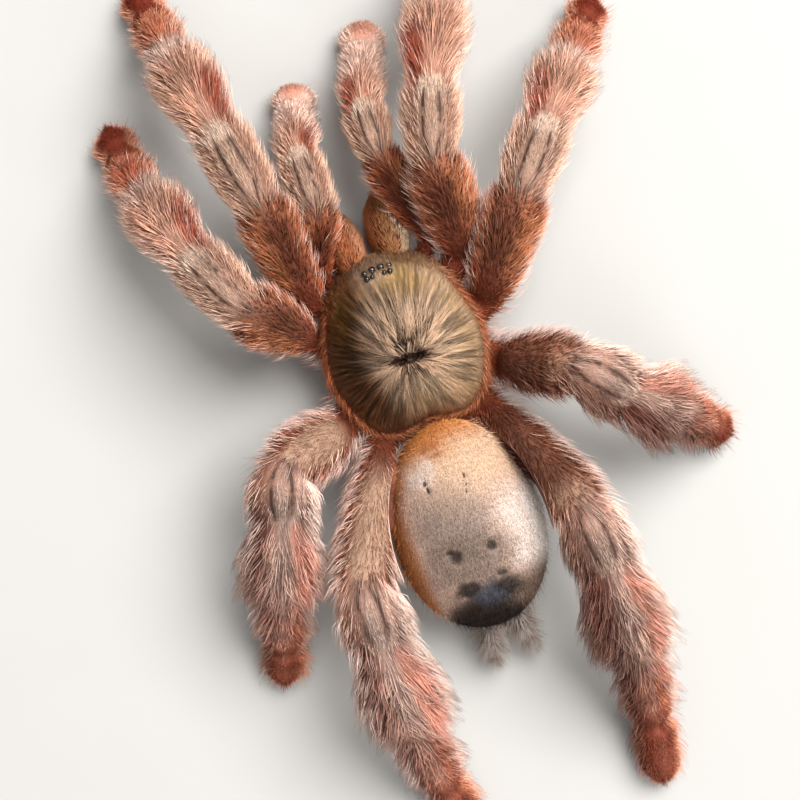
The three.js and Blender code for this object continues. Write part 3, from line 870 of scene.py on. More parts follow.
def limb_markings(shader, colours, station, around, shag):
    """The colours of a limb at the tips and at the roots of its hair."""
    over, rise, within = shader.over, shader.rise, shader.within
    along = station / STATIONS
    tips, pale_tips, roots = (
        shader.ramp(along, [(at / STATIONS, getattr(colours, name)) for at, name in table])
        for table in (NEAT_TIPS, RAGGED_TIPS, HAIR_ROOTS)
    )
    drift = shader.noise(520.0, 2.0) - 0.5
    about = abs(around)
    flank = within(about, 0.16, 0.38, 0.62, 0.85)
    top = rise(about + drift * 0.15, 0.3, 0.12)
    under = rise(about, 0.6, 0.85)
    plate = rise(about + drift * 0.1, 0.34, 0.12) * within(station, 2.02, 2.2, 2.9, 3.02)
    tips = over(tips, plate * 0.85, colours.cream)
    red_side = shader.spot(around, station, (0.28, 3.28), (0.24, 0.42))
    tips = over(tips, red_side * 0.95, colours.brick)
    femur = within(station, *THIGH)
    lit_flank = flank * femur * (0.4 + rise(around, 0.0, -0.2) * 0.4)
    tips = over(tips, lit_flank, colours.apricot)
    palp = rise(shag, -0.1, -0.25)
    palp_shin = palp * rise(station, 3.3, 3.95)
    tips = over(tips, palp_shin, colours.petal)
    roots = over(roots, palp_shin * 0.8, colours.petal_root)
    palp_tip = palp * rise(station, 4.5, 5.2) * rise(about, 0.3, 0.08)
    tips = over(tips, palp_tip * 0.85, colours.palp_toe)

    ragged = rise(shag, 0.0, 1.0)
    dim = within(shag, *DARKER_LEGS)
    knee = rise(about, 0.24, 0.08) * within(station, 2.0, 2.1, 2.95, 3.1)
    pale_tips = over(pale_tips, knee * 0.9, colours.pearl)
    ridge = rise(about, 0.16, 0.04) * within(station, 3.0, 3.1, 3.6, 4.0)
    pale_tips = over(pale_tips, ridge * 0.7, colours.shell)
    # Painted light: the lit side of the ragged legs' knees and shins is paled with the shell colour.
    lit = rise(around, 0.1, -0.3) * within(station, 2.0, 2.3, 3.9, 4.3)
    pale_tips = over(pale_tips, lit * 0.8, colours.shell)
    # Painted shade: the side of the ragged legs' shins and knees away from the light is darkened to mauve
    # and taupe.
    away = rise(around + drift * 0.2, 0.04, 0.3)
    shin = within(station, 2.7, 3.0, 5.4, 6.0)
    pale_tips = over(pale_tips, away * shin * 0.8, colours.mauve)
    knee_side = within(station, 2.05, 2.3, 2.8, 3.1)
    pale_tips = over(pale_tips, away * knee_side * 0.65, colours.taupe)
    # Painted shade on the side of the two darker rear legs that is turned from the light.
    dark_legs_shade = dim * rise(around + drift * 0.2, -0.12, 0.16) * within(station, 2.05, 2.3, 5.5, 6.0)
    pale_tips = over(pale_tips, dark_legs_shade * 0.6, colours.umber)
    thigh = flank * within(station, 0.9, 1.3, 1.85, 1.98)
    pale_tips = over(pale_tips, thigh * 0.7, colours.brick)
    # The right rear thighs' darkness is partly their own colour and partly painted shade.
    dark_thigh = dim * within(station, 1.0, 1.3, 1.78, 1.98)
    pale_tips = over(pale_tips, dark_thigh * 0.85, colours.dark_thigh)
    streak = within(around + drift * 0.12, -0.42, -0.3, -0.16, -0.06)
    streak = streak * within(station, 2.98, 3.2, 5.0, 5.8)
    pink = over(linear(colours.coral_pale), rise(station, 3.9, 4.3), colours.coral)
    pale_tips = shader.mix(streak * 0.85, pale_tips, pink)
    bark = ragged * within(station, 2.3, 2.8, 4.1, 4.6)
    roots = over(roots, bark * (1 - streak * 0.7), colours.bark)
    tips = shader.mix(ragged, tips, pale_tips)

    # Hair beside the bare lines is darkened, partly the lines' own dark colour and partly painted shade in
    # the parting.
    line = line_gap(shader, station, about)
    line = rise(line, 2.3, 0.7) * within(station, 2.02, 2.12, 2.74, 2.92)
    tips = over(tips, line * 0.8, colours.stripe)
    # Painted shade in the groove beside each knee plate.
    groove_shade = within(about, 0.19, 0.23, 0.26, 0.32) * within(station, 2.05, 2.2, 2.8, 2.95)
    tips = over(tips, groove_shade * (1 - ragged * 0.5) * 0.45, colours.cocoa)
    tuft = top * within(station, 2.7, 2.86, 3.0, 3.1) * (1 - ragged * 0.75)
    tips = over(tips, tuft * 0.9, colours.white)
    roots = over(roots, plate * (1 - ragged * 0.6) * 0.3, colours.cream)
    roots = over(roots, tuft * 0.75, colours.cream)
    shin_back = rise(about + drift * 0.2, 0.22, 0.05) * within(station, 3.15, 3.35, 3.7, 3.9)
    tips = over(tips, shin_back * (1 - ragged) * 0.3, colours.amber)
    ragged_edge = station + (shader.noise(1500.0, 2.0) - 0.5) * 0.5
    toes = rise(ragged_edge, 4.38, 4.6)
    narrow = rise(about + drift * 0.14 - toes * 0.1, 0.27, 0.1)
    foot = rise(station, 3.98, 4.14) - within(ragged_edge, 4.3, 4.42, 4.46, 4.56) * 0.7
    patch = over(linear(colours.coral), within(shag, *BRICK_FOOT) * 0.7, colours.brick)
    toe = over(over(patch, toes, colours.plush), ragged * 0.8, colours.sienna)
    held_back = ragged * (0.2 + rise(station, 4.75, 4.4) * 0.45)
    tips = shader.mix(foot * narrow * (1 - palp) * (1 - held_back), tips, toe)
    gold = within(around + drift * 0.2, -0.44, -0.32, -0.14, -0.02)
    gold = gold * within(station, 1.2, 1.45, 1.85, 1.98) * (1 - ragged)
    dark_back = femur * top * (1 - ragged * rise(station, 1.0, 1.5))
    tips = over(tips, dark_back * 0.7, colours.umber)
    tips = over(tips, gold * 0.7, colours.apricot)
    sole = under * rise(station, 4.2, 4.8)
    tips = over(tips, sole * 0.8, colours.sole)
    return tips, over(roots, under * 0.35, colours.umber)


def line_gap(shader, station, about):
    """How far a place is from the bare lines of a knee plate, in widths of a line."""
    parted = shader.rise(station, *LINES_PART) * (1 - shader.rise(station, *LINES_MEET) * STRIPE_CLOSE)
    return abs(about - parted * STRIPE_AT) / STRIPE_WIDE


def knee_stripes(shader, station, around):
    """The two bare lines along the back of each knee plate, joined at their root."""
    line = shader.rise(line_gap(shader, station, abs(around)), 1.0, 0.3)
    broken = shader.rise(shader.noise(700.0, 2.0), 0.34, 0.5)
    return line * broken * shader.within(station, 2.02, 2.1, 2.72, 2.86)


# Places on the abdomen as shares of its half width and half length from its middle.
SIGILLA = (
    ((0.41, -0.46), (0.028, 0.04)), ((0.385, -0.39), (0.022, 0.045)), ((-0.1, -0.45), (0.025, 0.04)),
    ((-0.085, -0.38), (0.02, 0.03)), ((-0.07, -0.31), (0.02, 0.03)), ((0.26, 0.26), (0.11, 0.085)),
    ((0.33, 0.2), (0.08, 0.04)), ((-0.21, 0.228), (0.085, 0.065)), ((-0.25, 0.5), (0.1, 0.035)),
)
DARK_PATCH = (
    ((-0.02, 0.66), (0.4, 0.17)), ((0.24, 0.58), (0.2, 0.1)), ((-0.28, 0.62), (0.3, 0.14)),
    ((0.1, 0.78), (0.5, 0.14)),
)
PIT_DEPTH = 0.3


def belly_markings(shader, colours, across, along, upward):
    """The colours of the abdomen."""
    over, rise, within, spot = shader.over, shader.rise, shader.within, shader.spot
    drift = shader.noise(260.0, 3.0) - 0.5
    fine = shader.noise(900.0, 3.0)
    grey = spot(across + drift * 0.4, along, (0.16, 0.02), (0.66, 0.62))
    base = over(linear(colours.belly), grey * 0.8, colours.belly_grey)
    peach = rise(along + drift * 0.3, -0.05, -0.6) * rise(across, 0.7, 0.1)
    base = over(base, peach * 0.85, colours.peach)
    # The pale right side is partly the abdomen's own white and partly painted light.
    right = rise(across + drift * 0.3, -0.25, -0.66) * within(along, -0.4, -0.05, 0.42, 0.62)
    shoulder = spot(across + drift * 0.2, along, (0.45, -0.58), (0.26, 0.2))
    base = over(base, right * 0.7, colours.belly_white)
    base = over(base, shoulder * 0.5, colours.belly_white)
    # Painted light: the right margin, which turns from the lamp, is lifted towards white.
    margin = rise(across, -0.7, -0.95) * within(along, -0.5, -0.1, 0.5, 0.75)
    base = over(base, margin * 0.9, colours.belly_edge_light)
    front = rise(along - across * 0.24 + drift * 0.34, -0.58, -0.98)
    wider = rise(along, 0.0, 0.8) * 0.14
    left = rise(across + drift * 0.16 + wider + rise(along, -0.2, -0.6) * 0.1, 0.68, 0.92)
    left = left * rise(along, 0.98, 0.8)
    cap = shader.mix(left, front, WHOLE)
    base = over(base, cap * 0.9, colours.cap)
    # The darker left flank is partly the abdomen's own brown and partly painted shade.
    flank = left * rise(along, -0.7, -0.3)
    base = over(base, flank * 0.7, colours.flank)
    smudge = spot(across + drift * 0.3, along, (0.2, -0.75), (0.2, 0.1))
    base = over(base, smudge * rise(fine, 0.35, 0.6) * 0.7, colours.rust_smudge)
    ring = spot(across + drift * 0.4, along + drift * 0.2, (0.12, 0.32), (0.74, 0.36)) * 0.7
    base = over(base, ring, colours.belly_shade)
    ragged = (fine - 0.5) * 0.12
    for centre, size in SIGILLA:
        mark = spot(across + ragged, along - ragged * 0.5, centre, size)
        base = over(base, mark * 0.9, colours.pit)
    dusk = rise(along + drift * 0.14 - across * 0.12, 0.44, 0.74) * rise(across, 0.64, 0.44)
    base = over(base, dusk * 0.8, colours.dusk)
    rear = rise(along + across * 0.04 + drift * 0.12, 0.76, 0.88) * rise(across, 0.75, 0.55)
    base = over(base, rear * 0.95, colours.soot)
    for i, (centre, size) in enumerate(DARK_PATCH):
        mark = spot(across + drift * 0.4 + ragged, along + ragged, centre, size)
        base = over(base, mark * 0.85, colours.soot if i else colours.slate)
    core = spot(across + ragged * 2, along + drift * 0.1, (-0.04, 0.68), (0.26, 0.1))
    base = over(base, core * 0.7, colours.slate)
    return over(base, rise(upward, 0.0, -0.55) * 0.8, colours.umber)


def shield_markings(shader, colours, x, y, share):
    """The colours of the shield's hair, her left at +x and her head at -y, and of the bare plate."""
    over, rise, spot = shader.over, shader.rise, shader.spot
    cloud = shader.noise(300.0, 3.0)
    drift = cloud - 0.5
    hair = over(linear(colours.shield_sand), rise(cloud, 0.4, 0.7) * 0.5, colours.shield_gold)
    # Painted shade: her left side of the shield, turned from the light, is darkened to brown.
    left = rise(x + drift * 0.5, -0.1, 0.4)
    hair = over(hair, left * 0.95, colours.shield_brown)
    middle = spot(x + drift * 0.3, y, (-0.06, -0.14), (0.56, 0.66)) * 0.75
    hair = over(hair, middle, colours.shield_rose)
    brow = rise(y + drift * 0.1, -0.66, -0.86)
    hair = over(hair, brow * 0.7, colours.shield_brown)
    right_head = spot(x + drift * 0.2, y, (-0.16, -0.62), (0.26, 0.22))
    hair = over(hair, right_head * 0.75, colours.shield_gold)
    left_head = spot(x + drift * 0.2, y, (0.52, -0.5), (0.3, 0.34))
    hair = over(hair, left_head * 0.75, colours.shield_olive)
    eye_mound = spot(x, y, (0.04, -0.84), (0.26, 0.14))
    hair = over(hair, eye_mound * 0.6, colours.shield_rose)
    rear = rise(y + drift * 0.2, 0.5, 0.9)
    hair = over(hair, rear * 0.6, colours.shield_rear)
    haze = rise(share + drift * 0.2, 0.5, 0.85)
    deep = shader.mix(haze * 0.75, linear(colours.shield_dark), hair)
    hair = over(hair, haze * 0.3, colours.shield_brown)
    edge = rise(share + drift * 0.08, 0.86, 0.97) * rise(y, -0.9, -0.6)
    hair = over(hair, edge, colours.rim)
    return hair, over(deep, edge, colours.russet)


# ---- materials ----


def coat_finish(name):
    return Shader(name, Roughness=0.6, Specular_IOR_Level=0.14)


def hair_colour(shader, tips, roots, ends, start, full, contrast=0.35, depth=0.0):
    """The colour along a hair, from its root to its tip, with each hair a little different; a depth darkens
    the hair next to the skin, partly as painted shade.
    """
    share, chance, tone = ends
    ripe = shader.rise(share, start, full) * (1 - depth + shader.rise(tone, 0.0, 1.0) * depth)
    colour = shader.mix(ripe, roots, tips)
    return shader.shaded(colour, 1 - contrast / 2 + chance * contrast)


def limb_coat_material(colours):
    shader = coat_finish("limb_coat")
    station, around, shag = shader.field("place")
    tips, roots = limb_markings(shader, colours, station, around, shag)
    ends = shader.field("strand")
    stray = shader.rise(ends[2], 1.0, 2.0) * shader.rise(station, 5.2, 4.2)
    # Painted shade: fewer pale stray tips on the shaded side of the two darker rear legs.
    stray = stray * (1 - shader.within(shag, *DARKER_LEGS) * shader.rise(around, -0.1, 0.2) * 0.8)
    tips = shader.over(tips, stray * 0.55, colours.hoar)
    long_hair = shader.rise(shag, 0.3, 0.9) * shader.within(station, 2.5, 3.0, 4.2, 4.8)
    share = ends[0] - long_hair * 0.3
    shader.set("Base Color", hair_colour(shader, tips, roots, [share, *ends[1:]], -0.6, 0.45, 0.85, 0.45))
    return shader.material


def belly_coat_material(colours):
    shader = coat_finish("belly_coat")
    colour = belly_markings(shader, colours, *shader.field("place"))
    ends = shader.field("strand")
    shader.set("Base Color", hair_colour(shader, colour, shader.shaded(colour, 0.35), ends, -0.6, 0.6, 0.75))
    return shader.material


def shield_coat_material(colours):
    shader = coat_finish("shield_coat")
    x, y, share = shader.field("place")
    hair, plate = shield_markings(shader, colours, x, y, share)
    ends = shader.field("strand")
    grown = ends[0] + shader.rise(share, 0.4, 0.08) * 0.5
    shader.set("Base Color", hair_colour(shader, hair, plate, [grown, *ends[1:]], -0.2, 0.5, 1.5, 0.5))
    return shader.material


def jaw_coat_material(colours):
    """The left jaw is tan all over, the right one golden with a painted highlight on its outer side."""
    shader = coat_finish("jaw_coat")
    across, along = shader.field("place")[:2]
    ends = shader.field("strand")
    cloud = shader.noise(420.0, 2.0)
    inner = shader.rise(across + (cloud - 0.5) * 0.4, 0.0, 0.6)
    tan = inner + ends[2] * (1 - inner)
    # Painted highlight down the jaws' right sides.
    pale = shader.rise(across + cloud * 0.4, 0.1, -0.4)
    tips = shader.over(linear(colours.jaw), pale, colours.jaw_highlight)
    tips = shader.over(tips, tan * 0.75, colours.jaw_tan)
    tips = shader.over(tips, shader.rise(along, -0.6, -0.9), colours.coral)
    shader.set("Base Color", hair_colour(shader, tips, linear(colours.umber), ends, -0.7, 0.4, 0.5))
    return shader.material


def tail_coat_material(colours):
    shader = coat_finish("tail_coat")
    ends = shader.field("strand")
    dull = shader.rise(shader.noise(900.0), 0.45, 0.7)
    tips = shader.over(linear(colours.ash), dull * 0.6, colours.taupe)
    shader.set("Base Color", hair_colour(shader, tips, linear(colours.soot), ends, 0.1, 0.9, 0.8))
    return shader.material


def skin_material(colours):
    shader = Shader("skin", Roughness=0.6, Specular_IOR_Level=0.2)
    station, around, shag = shader.field("place")
    tips, roots = limb_markings(shader, colours, station, around, shag)
    speck = shader.noise(8000.0, 2.0)
    velvet = shader.rise(abs(around), 0.4, 0.2) * shader.within(station, 1.1, 1.4, 1.95, 2.1)
    velvet = shader.mix(shader.rise(station, 4.0, 4.3) * 0.5, velvet, WHOLE)
    limb = shader.mix(0.25 + velvet * 0.5, roots, tips)
    limb = shader.shaded(limb, 0.6 + shader.rise(speck, 0.3, 0.6) * 0.4)
    limb = shader.over(limb, knee_stripes(shader, station, around), colours.stripe)
    belly = belly_markings(shader, colours, *shader.field("belly"))
    belly_share, jaw_share, tail_share = shader.field("share")
    belly = shader.shaded(belly, 0.35 + shader.rise(speck, 0.3, 0.55) * 0.5)
    colour = shader.over(limb, jaw_share, colours.umber)
    colour = shader.over(colour, tail_share, colours.soot)
    colour = shader.mix(belly_share, colour, belly)
    shader.set("Base Color", colour)
    shader.set("Roughness", 0.5 + speck * 0.3)
    pores = shader.noise(3200.0, 3.0, (1.0, 1.0, 0.6))
    shader.bump(pores + speck * 0.5, 0.06)
    return shader.material


def shield_material(colours):
    shader = Shader("shield", Roughness=0.6, Specular_IOR_Level=0.1)
    x, y, share = shader.field("place")
    hair, plate = shield_markings(shader, colours, x, y, share)
    fur = shader.noise(2600.0, 3.0)
    shader.set("Base Color", shader.mix(shader.rise(fur, 0.5, 0.72) * 0.3, plate, hair))
    shader.set("Roughness", 0.55 + fur * 0.25)
    shader.bump(fur, 0.05)
    return shader.material


def breastplate_material(colours):
    shader = Shader("breastplate", Roughness=0.45, Specular_IOR_Level=0.4)
    fur = shader.noise(2400.0, 3.0, (1.0, 0.35, 1.0))
    shader.set("Base Color", shader.over(linear(colours.umber), fur, colours.russet))
    shader.set("Roughness", 0.4 + fur * 0.3)
    shader.bump(fur, 0.06)
    return shader.material


def eye_material(colours):
    shader = Shader("eye", IOR=1.45, Coat_Roughness=0.03)
    ring = shader.node("ShaderNodeLayerWeight", values={"Blend": 0.35}, output="Facing")
    depth = shader.noise(4200.0, 1.0)
    shader.set("Base Color", shader.over(linear(colours.eye), depth * 0.5, colours.soot))
    shader.set("Roughness", 0.06 + depth * 0.06)
    shader.set("Coat Weight", 0.5 + ring * 0.5)
    return shader.material


def fang_material(colours):
    shader = Shader("fang", IOR=1.5)
    streak = shader.noise(1400.0, 3.0, (1.0, 0.15, 1.0))
    shader.set("Base Color", shader.over(linear(colours.soot), streak * 0.6, colours.maroon))
    shader.set("Roughness", 0.18 + streak * 0.15)
    shader.bump(streak, 0.02)
    return shader.material


def floor_material(colour):
    shader = Shader("floor", Specular_IOR_Level=0.2)
    grain = shader.noise(90.0, 4.0)
    shader.set("Base Color", shader.shaded(linear(colour), 0.98 + grain * 0.04))
    shader.set("Roughness", 0.8 + grain * 0.1)
    return shader.material


# ---- settings ----


def tint(name, description, red, green, blue):
    """A colour setting, given as screen values from 0 to 255."""
    default = (red / 255, green / 255, blue / 255)
    return FloatVectorProperty(
        name=name, description=description, subtype="COLOR_GAMMA", size=3, min=0, max=1, default=default,
    )


class ColourSettings(bpy.types.PropertyGroup):
    """The colours of her skin and coat."""

    knee: tint("Knee", "Hair on the sides of the knee plates", 222, 176, 148)
    ash: tint("Ash", "Hair tips on the spinnerets", 196, 182, 172)
    peach: tint("Peach", "Front of the abdomen, behind its cap", 214, 178, 146)
    # Shield brown is painted shade on the shield's left side; it also darkens the brow and the outer shield.
    shield_brown: tint("Shield brown", "Left side of the shield", 108, 68, 40)
    jaw_tan: tint("Tan jaws", "Tan hair on the jaws", 184, 104, 62)
    # Painted highlight on the jaws' right sides.
    jaw_highlight: tint("Pale jaws", "Pale hair on the jaws", 226, 196, 162)
    petal: tint("Petal", "Hair on the shins of the palps", 255, 222, 204)
    coral_pale: tint("Pale coral", "Red streaks along the rear shins", 255, 178, 154)
    rust: tint("Rust", "Hair on the hips", 178, 90, 58)
    amber: tint("Amber", "Hair along the thighs", 158, 86, 56)
    apricot: tint("Apricot", "Sides of the thighs", 210, 134, 90)
    umber: tint("Umber", "Dark backs of the thighs and the undersides", 64, 24, 14)
    joint_line: tint("Joint line", "The thin line between thigh and knee plate", 150, 88, 60)
    fawn: tint("Fawn", "Pale hair on the thighs of the rear legs", 192, 154, 128)
    cream: tint("Cream", "Hair on the back of the knee plates", 184, 157, 137)
    white: tint("White", "Pale tufts before the joints", 226, 200, 180)
    blush: tint("Blush", "Hair on the shins", 238, 188, 160)
    ash_rose: tint("Ash rose", "Long hair on the shins and rear legs", 232, 180, 160)
    rose: tint("Rose", "Hair on the sides of the feet", 238, 162, 128)
    coral: tint("Coral", "Backs of the lower legs", 216, 134, 100)
    plush: tint("Plush", "Dense hair on the feet", 130, 40, 12)
    russet: tint("Russet", "Roots of the red hair", 104, 36, 18)
    maroon: tint("Maroon", "Roots of the feet's hair", 84, 20, 8)
    # Taupe also paints shade on the knees' shaded side.
    taupe: tint("Taupe", "Roots of the pale hair", 150, 110, 90)
    # Cocoa also paints shade in the grooves beside the knee plates.
    cocoa: tint("Cocoa", "Roots of the hair on the shins", 132, 78, 60)
    stripe: tint("Stripe", "Bare lines on the knee plates", 66, 44, 36)
    sole: tint("Sole", "Soles of the feet", 58, 36, 30)
    belly: tint("Abdomen", "Warm middle of the abdomen", 200, 168, 150)
    belly_grey: tint("Abdomen grey", "Grey clouding of the abdomen", 132, 114, 104)
    # Painted light along the abdomen's right margin.
    belly_edge_light: tint("Abdomen edge", "Palest edge of the abdomen", 255, 246, 238)
    # On the right side this white is partly painted light.
    belly_white: tint("Abdomen white", "Pale sides of the abdomen", 228, 213, 203)
    cap: tint("Cap", "Front and left side of the abdomen", 198, 122, 54)
    pit: tint("Pits", "Small pits on the abdomen", 44, 32, 28)
    slate: tint("Slate", "Dark patch on the rear of the abdomen", 72, 72, 80)
    soot: tint("Soot", "Rear end of the abdomen", 26, 18, 14)
    shield_sand: tint("Shield sand", "Hair rows on the shield", 196, 164, 130)
    shield_gold: tint("Shield gold", "Golden hair on the shield", 182, 148, 96)
    shield_rose: tint("Shield rose", "Greyish middle of the shield", 176, 148, 126)
    shield_olive: tint("Shield olive", "Dark field left of the head", 106, 76, 32)
    shield_dark: tint("Shield dark", "Bare plate between the hair rows", 34, 20, 12)
    rim: tint("Rim", "Fringe of the shield", 196, 118, 80)
    jaw: tint("Jaws", "Hair on the jaws", 176, 124, 80)
    # Along the rear shins, shell is painted light on their lit side.
    shell: tint("Shell", "Pale bands before the ankles and along the rear shins", 250, 218, 200)
    hoar: tint("Hoar", "Tips of the long stray hairs", 252, 226, 212)
    brick: tint("Brick", "Red hair on the sides of the shins and thighs", 176, 80, 54)
    rust_smudge: tint("Smudge", "Rusty smudge on the front of the abdomen", 150, 74, 30)
    dusk: tint("Dusk", "Brown rear of the abdomen", 78, 58, 44)
    palp_toe: tint("Palp tips", "Backs of the palps' tips", 204, 138, 112)
    petal_root: tint("Petal roots", "Roots of that hair", 206, 140, 116)
    pearl: tint("Pearl", "Backs of the rear knee plates", 192, 170, 156)
    mauve: tint("Mauve", "Shaded sides of the rear shins", 140, 92, 78)
    # Partly painted shade.
    dark_thigh: tint("Dark thigh", "Thighs of the right rear legs", 92, 44, 28)
    bark: tint("Bark", "Dark roots of the rear shins' long hair", 72, 34, 26)
    belly_shade: tint("Abdomen shade", "Darker field in front of the rear patch", 118, 98, 86)
    eye: tint("Eyes", "Eyes", 18, 10, 8)
    sienna: tint("Sienna", "Backs of the rear feet", 132, 66, 46)
    shield_rear: tint("Shield rear", "Hair on the rear of the shield", 168, 112, 78)
    # Partly painted shade on the abdomen's left side.
    flank: tint("Flank", "Left side of the abdomen", 160, 98, 54)


class CoatSettings(bpy.types.PropertyGroup):
    """The make of her coat."""

    fullness: FloatProperty(
        name="Fullness", description="Share of the full number of hairs", default=1.0, min=0.05, max=1.0,
        subtype="FACTOR",
    )
    thickness: FloatProperty(
        name="Thickness", description="Hair thickness against its usual one", default=1.0, min=0.3, max=3,
    )
    lock_size: IntProperty(
        name="Lock size", description="Number of hairs drawn together in one lock", default=9, min=2, max=40,
    )
    belly_length: FloatProperty(
        name="Velvet", description="Length of the short hair on the abdomen", default=0.5 * MM,
        unit="LENGTH",
    )
    fringe_length: FloatProperty(
        name="Fringe", description="Length of the fringe on the shield's rim", default=2.0 * MM,
        unit="LENGTH",
    )


class StageSettings(bpy.types.PropertyGroup):
    """The floor, the lamps and the camera."""

    floor: tint("Floor", "Colour of the floor", 180, 178, 174)
    key_power: FloatProperty(
        name="Main lamp", description="Power of the main lamp", default=7.1, unit="POWER",
    )
    fill_power: FloatProperty(
        name="Fill lamp", description="Power of the fill lamp", default=2.2, unit="POWER",
    )
    sky: FloatProperty(name="Sky", description="Strength of the light all round", default=0.39)
    height: FloatProperty(
        name="Camera height", description="Height of the camera over the floor", default=0.2, unit="LENGTH",
    )
    lens: FloatProperty(name="Lens", description="Focal length", default=91, unit="CAMERA")
    turn: FloatProperty(
        name="Turn", description="Turn of the camera about the upright", default=math.radians(160),
        unit="ROTATION",
    )
    aside: FloatVectorProperty(
        name="Aim", description="Where the camera stands from the shield's pit", size=2,
        default=(2.1 * MM, 3.4 * MM), unit="LENGTH",
    )


# ---- skin ----

SKIN_VOXEL = 0.31
SKIN_EASE = 3
CORE_SHARE = (0.62, 0.72)  # the core's width and length, as shares of the shield's and breastplate's
CORE_SUNK = 0.9
CORE_INSIDE = 2.6
CORE_GRID = (36, 24)
TAIL_GRID = (20, 14)
BLEND = 0.5  # how wide one kind of skin fades into the next
PIT_SHARE = 0.8  # of their marks' size, for the small pits themselves
RIB_HEIGHT = 0.02
RIB_TURN = 9  # of the fine ribs across the abdomen, in radians for each millimetre


def core_shell():
    """The flesh between the shield and the breastplate, which joins the limbs."""
    low, high = node_box("carapace", "sternum")
    centre = np.array([*SHIELD.pit, (low[2] + high[2]) / 2 - CORE_SUNK])
    half = np.array([*((high - low)[:2] / 2 * CORE_SHARE), (high - low)[2] / 2 - CORE_INSIDE])
    sides, rings = CORE_GRID
    return centre + ball(sides, rings) * half, tube_faces(rings, sides)


def joined(shells):
    """Several shells as one list of corners and one of faces."""
    corners, faces, count = [], [], 0
    for shell_corners, shell_faces in shells:
        corners.append(shell_corners)
        faces += [tuple(count + i for i in face) for face in shell_faces]
        count += len(shell_corners)
    return np.concatenate(corners), faces


def grown_together(shells):
    """One closed skin around overlapping shells."""
    corners, faces = joined(shells)
    mesh = bpy.data.meshes.new("shells")
    mesh.from_pydata(corners.tolist(), [], faces)
    holder = bpy.data.objects.new("shells", mesh)
    bpy.context.scene.collection.objects.link(holder)
    union = holder.modifiers.new("Join", "REMESH")
    union.mode = "VOXEL"
    union.voxel_size = SKIN_VOXEL
    ease = holder.modifiers.new("Ease", "SMOOTH")
    ease.iterations = SKIN_EASE
    ready = holder.evaluated_get(bpy.context.evaluated_depsgraph_get()).to_mesh()
    places, normals = np.empty((2, len(ready.vertices) * 3))
    ready.vertices.foreach_get("co", places)
    ready.vertices.foreach_get("normal", normals)
    quads = np.empty(len(ready.loops), np.int32)
    ready.loops.foreach_get("vertex_index", quads)
    bpy.data.objects.remove(holder)
    return places.reshape(-1, 3), normals.reshape(-1, 3), quads.reshape(-1, 4)


def limb_fields(places, chunk=4000):
    """For each place, the station, the place around and the shag of the limb it lies on."""
    lines = [(limb.points, limb.flesh, limb.side, limb.upward, limb.station) for limb in LIMBS]
    points, girth, side, upward, station = (np.concatenate(parts) for parts in zip(*lines))
    radius = girth.mean(1)
    counts = [len(limb.points) for limb in LIMBS]
    shag, hand = np.repeat([(limb.shag, limb.hand) for limb in LIMBS], counts, axis=0).T
    field, gap = np.empty((len(places), 3)), np.empty(len(places))
    for start in range(0, len(places), chunk):
        part = places[start:start + chunk]
        away = np.sqrt(((part[:, None] - points[None]) ** 2).sum(-1)) - radius
        best = away.argmin(1)
        off = part - points[best]
        across, over = (off * side[best]).sum(1), (off * upward[best]).sum(1)
        around = np.arctan2(across / girth[best, 0], over / girth[best, 1]) / math.pi * hand[best]
        field[start:start + chunk] = np.stack([station[best], around, shag[best]], axis=1)
        gap[start:start + chunk] = away[np.arange(len(part)), best]
    return field, gap


def oval_gap(oval, places, depth):
    """How far, about, places stand outside an oval."""
    reach = np.linalg.norm(oval.local(places), axis=1)
    return (reach - 1) * oval.half.min() + depth


def sigil_depth(local):
    """How deep the abdomen's small pits are at a place."""
    depth = np.zeros(len(local))
    for centre, size in SIGILLA:
        far = (((local[:, :2] - centre) / (np.array(size) * PIT_SHARE)) ** 2).sum(1)
        depth = np.maximum(depth, np.exp(-far))
    return depth * (local[:, 2] > 0)


class TARANTULA_OT_skin(bpy.types.Operator):
    """Add the skin of the limbs, the jaws, the waist, the abdomen and the spinnerets"""

    bl_idname = "tarantula.skin"
    bl_label = "Skin"

    def execute(self, context):
        shells = [limb.tube() for limb in LIMBS]
        shells += [BELLY.shell(BELLY_DEPTH), WAIST.shell(WAIST_DEPTH), core_shell()]
        shells += [jaw.shell(JAW_DEPTH) for jaw in JAWS]
        shells += [tail.shell(SPINNERET_DEPTH, *TAIL_GRID) for tail in SPINNERETS]
        places, normals, quads = grown_together(shells)
        field, limb_gap = limb_fields(places)
        belly = BELLY.local(places)
        belly_gap = oval_gap(BELLY, places, BELLY_DEPTH)
        jaw_gap = np.minimum(*(oval_gap(jaw, places, JAW_DEPTH) for jaw in JAWS))
        tail_gap = np.minimum(*(oval_gap(tail, places, SPINNERET_DEPTH) for tail in SPINNERETS))
        share = np.stack([
            smoothstep(np.minimum(limb_gap, tail_gap) - belly_gap, -BLEND, BLEND),
            smoothstep(limb_gap - jaw_gap, -BLEND, BLEND),
            smoothstep(np.minimum(limb_gap, belly_gap) - tail_gap, -BLEND, BLEND),
        ], axis=1)
        places -= normals * (PIT_DEPTH * share[:, 0] * sigil_depth(belly))[:, None]
        ribs = RIB_HEIGHT * np.sin(places @ BACK * RIB_TURN) * share[:, 0]
        places += normals * ribs[:, None]
        fields = {"place": field, "belly": belly, "share": share}
        replaced = [node for limb in LIMBS for node in limb.nodes]
        replaced += [oval.name for oval in (BELLY, WAIST, *JAWS, *SPINNERETS)]
        material = skin_material(context.scene.tarantula_colours)
        add_piece("skin", places, quads, material, replaced, fields)
        return {"FINISHED"}


# ---- plates, eyes and fangs ----


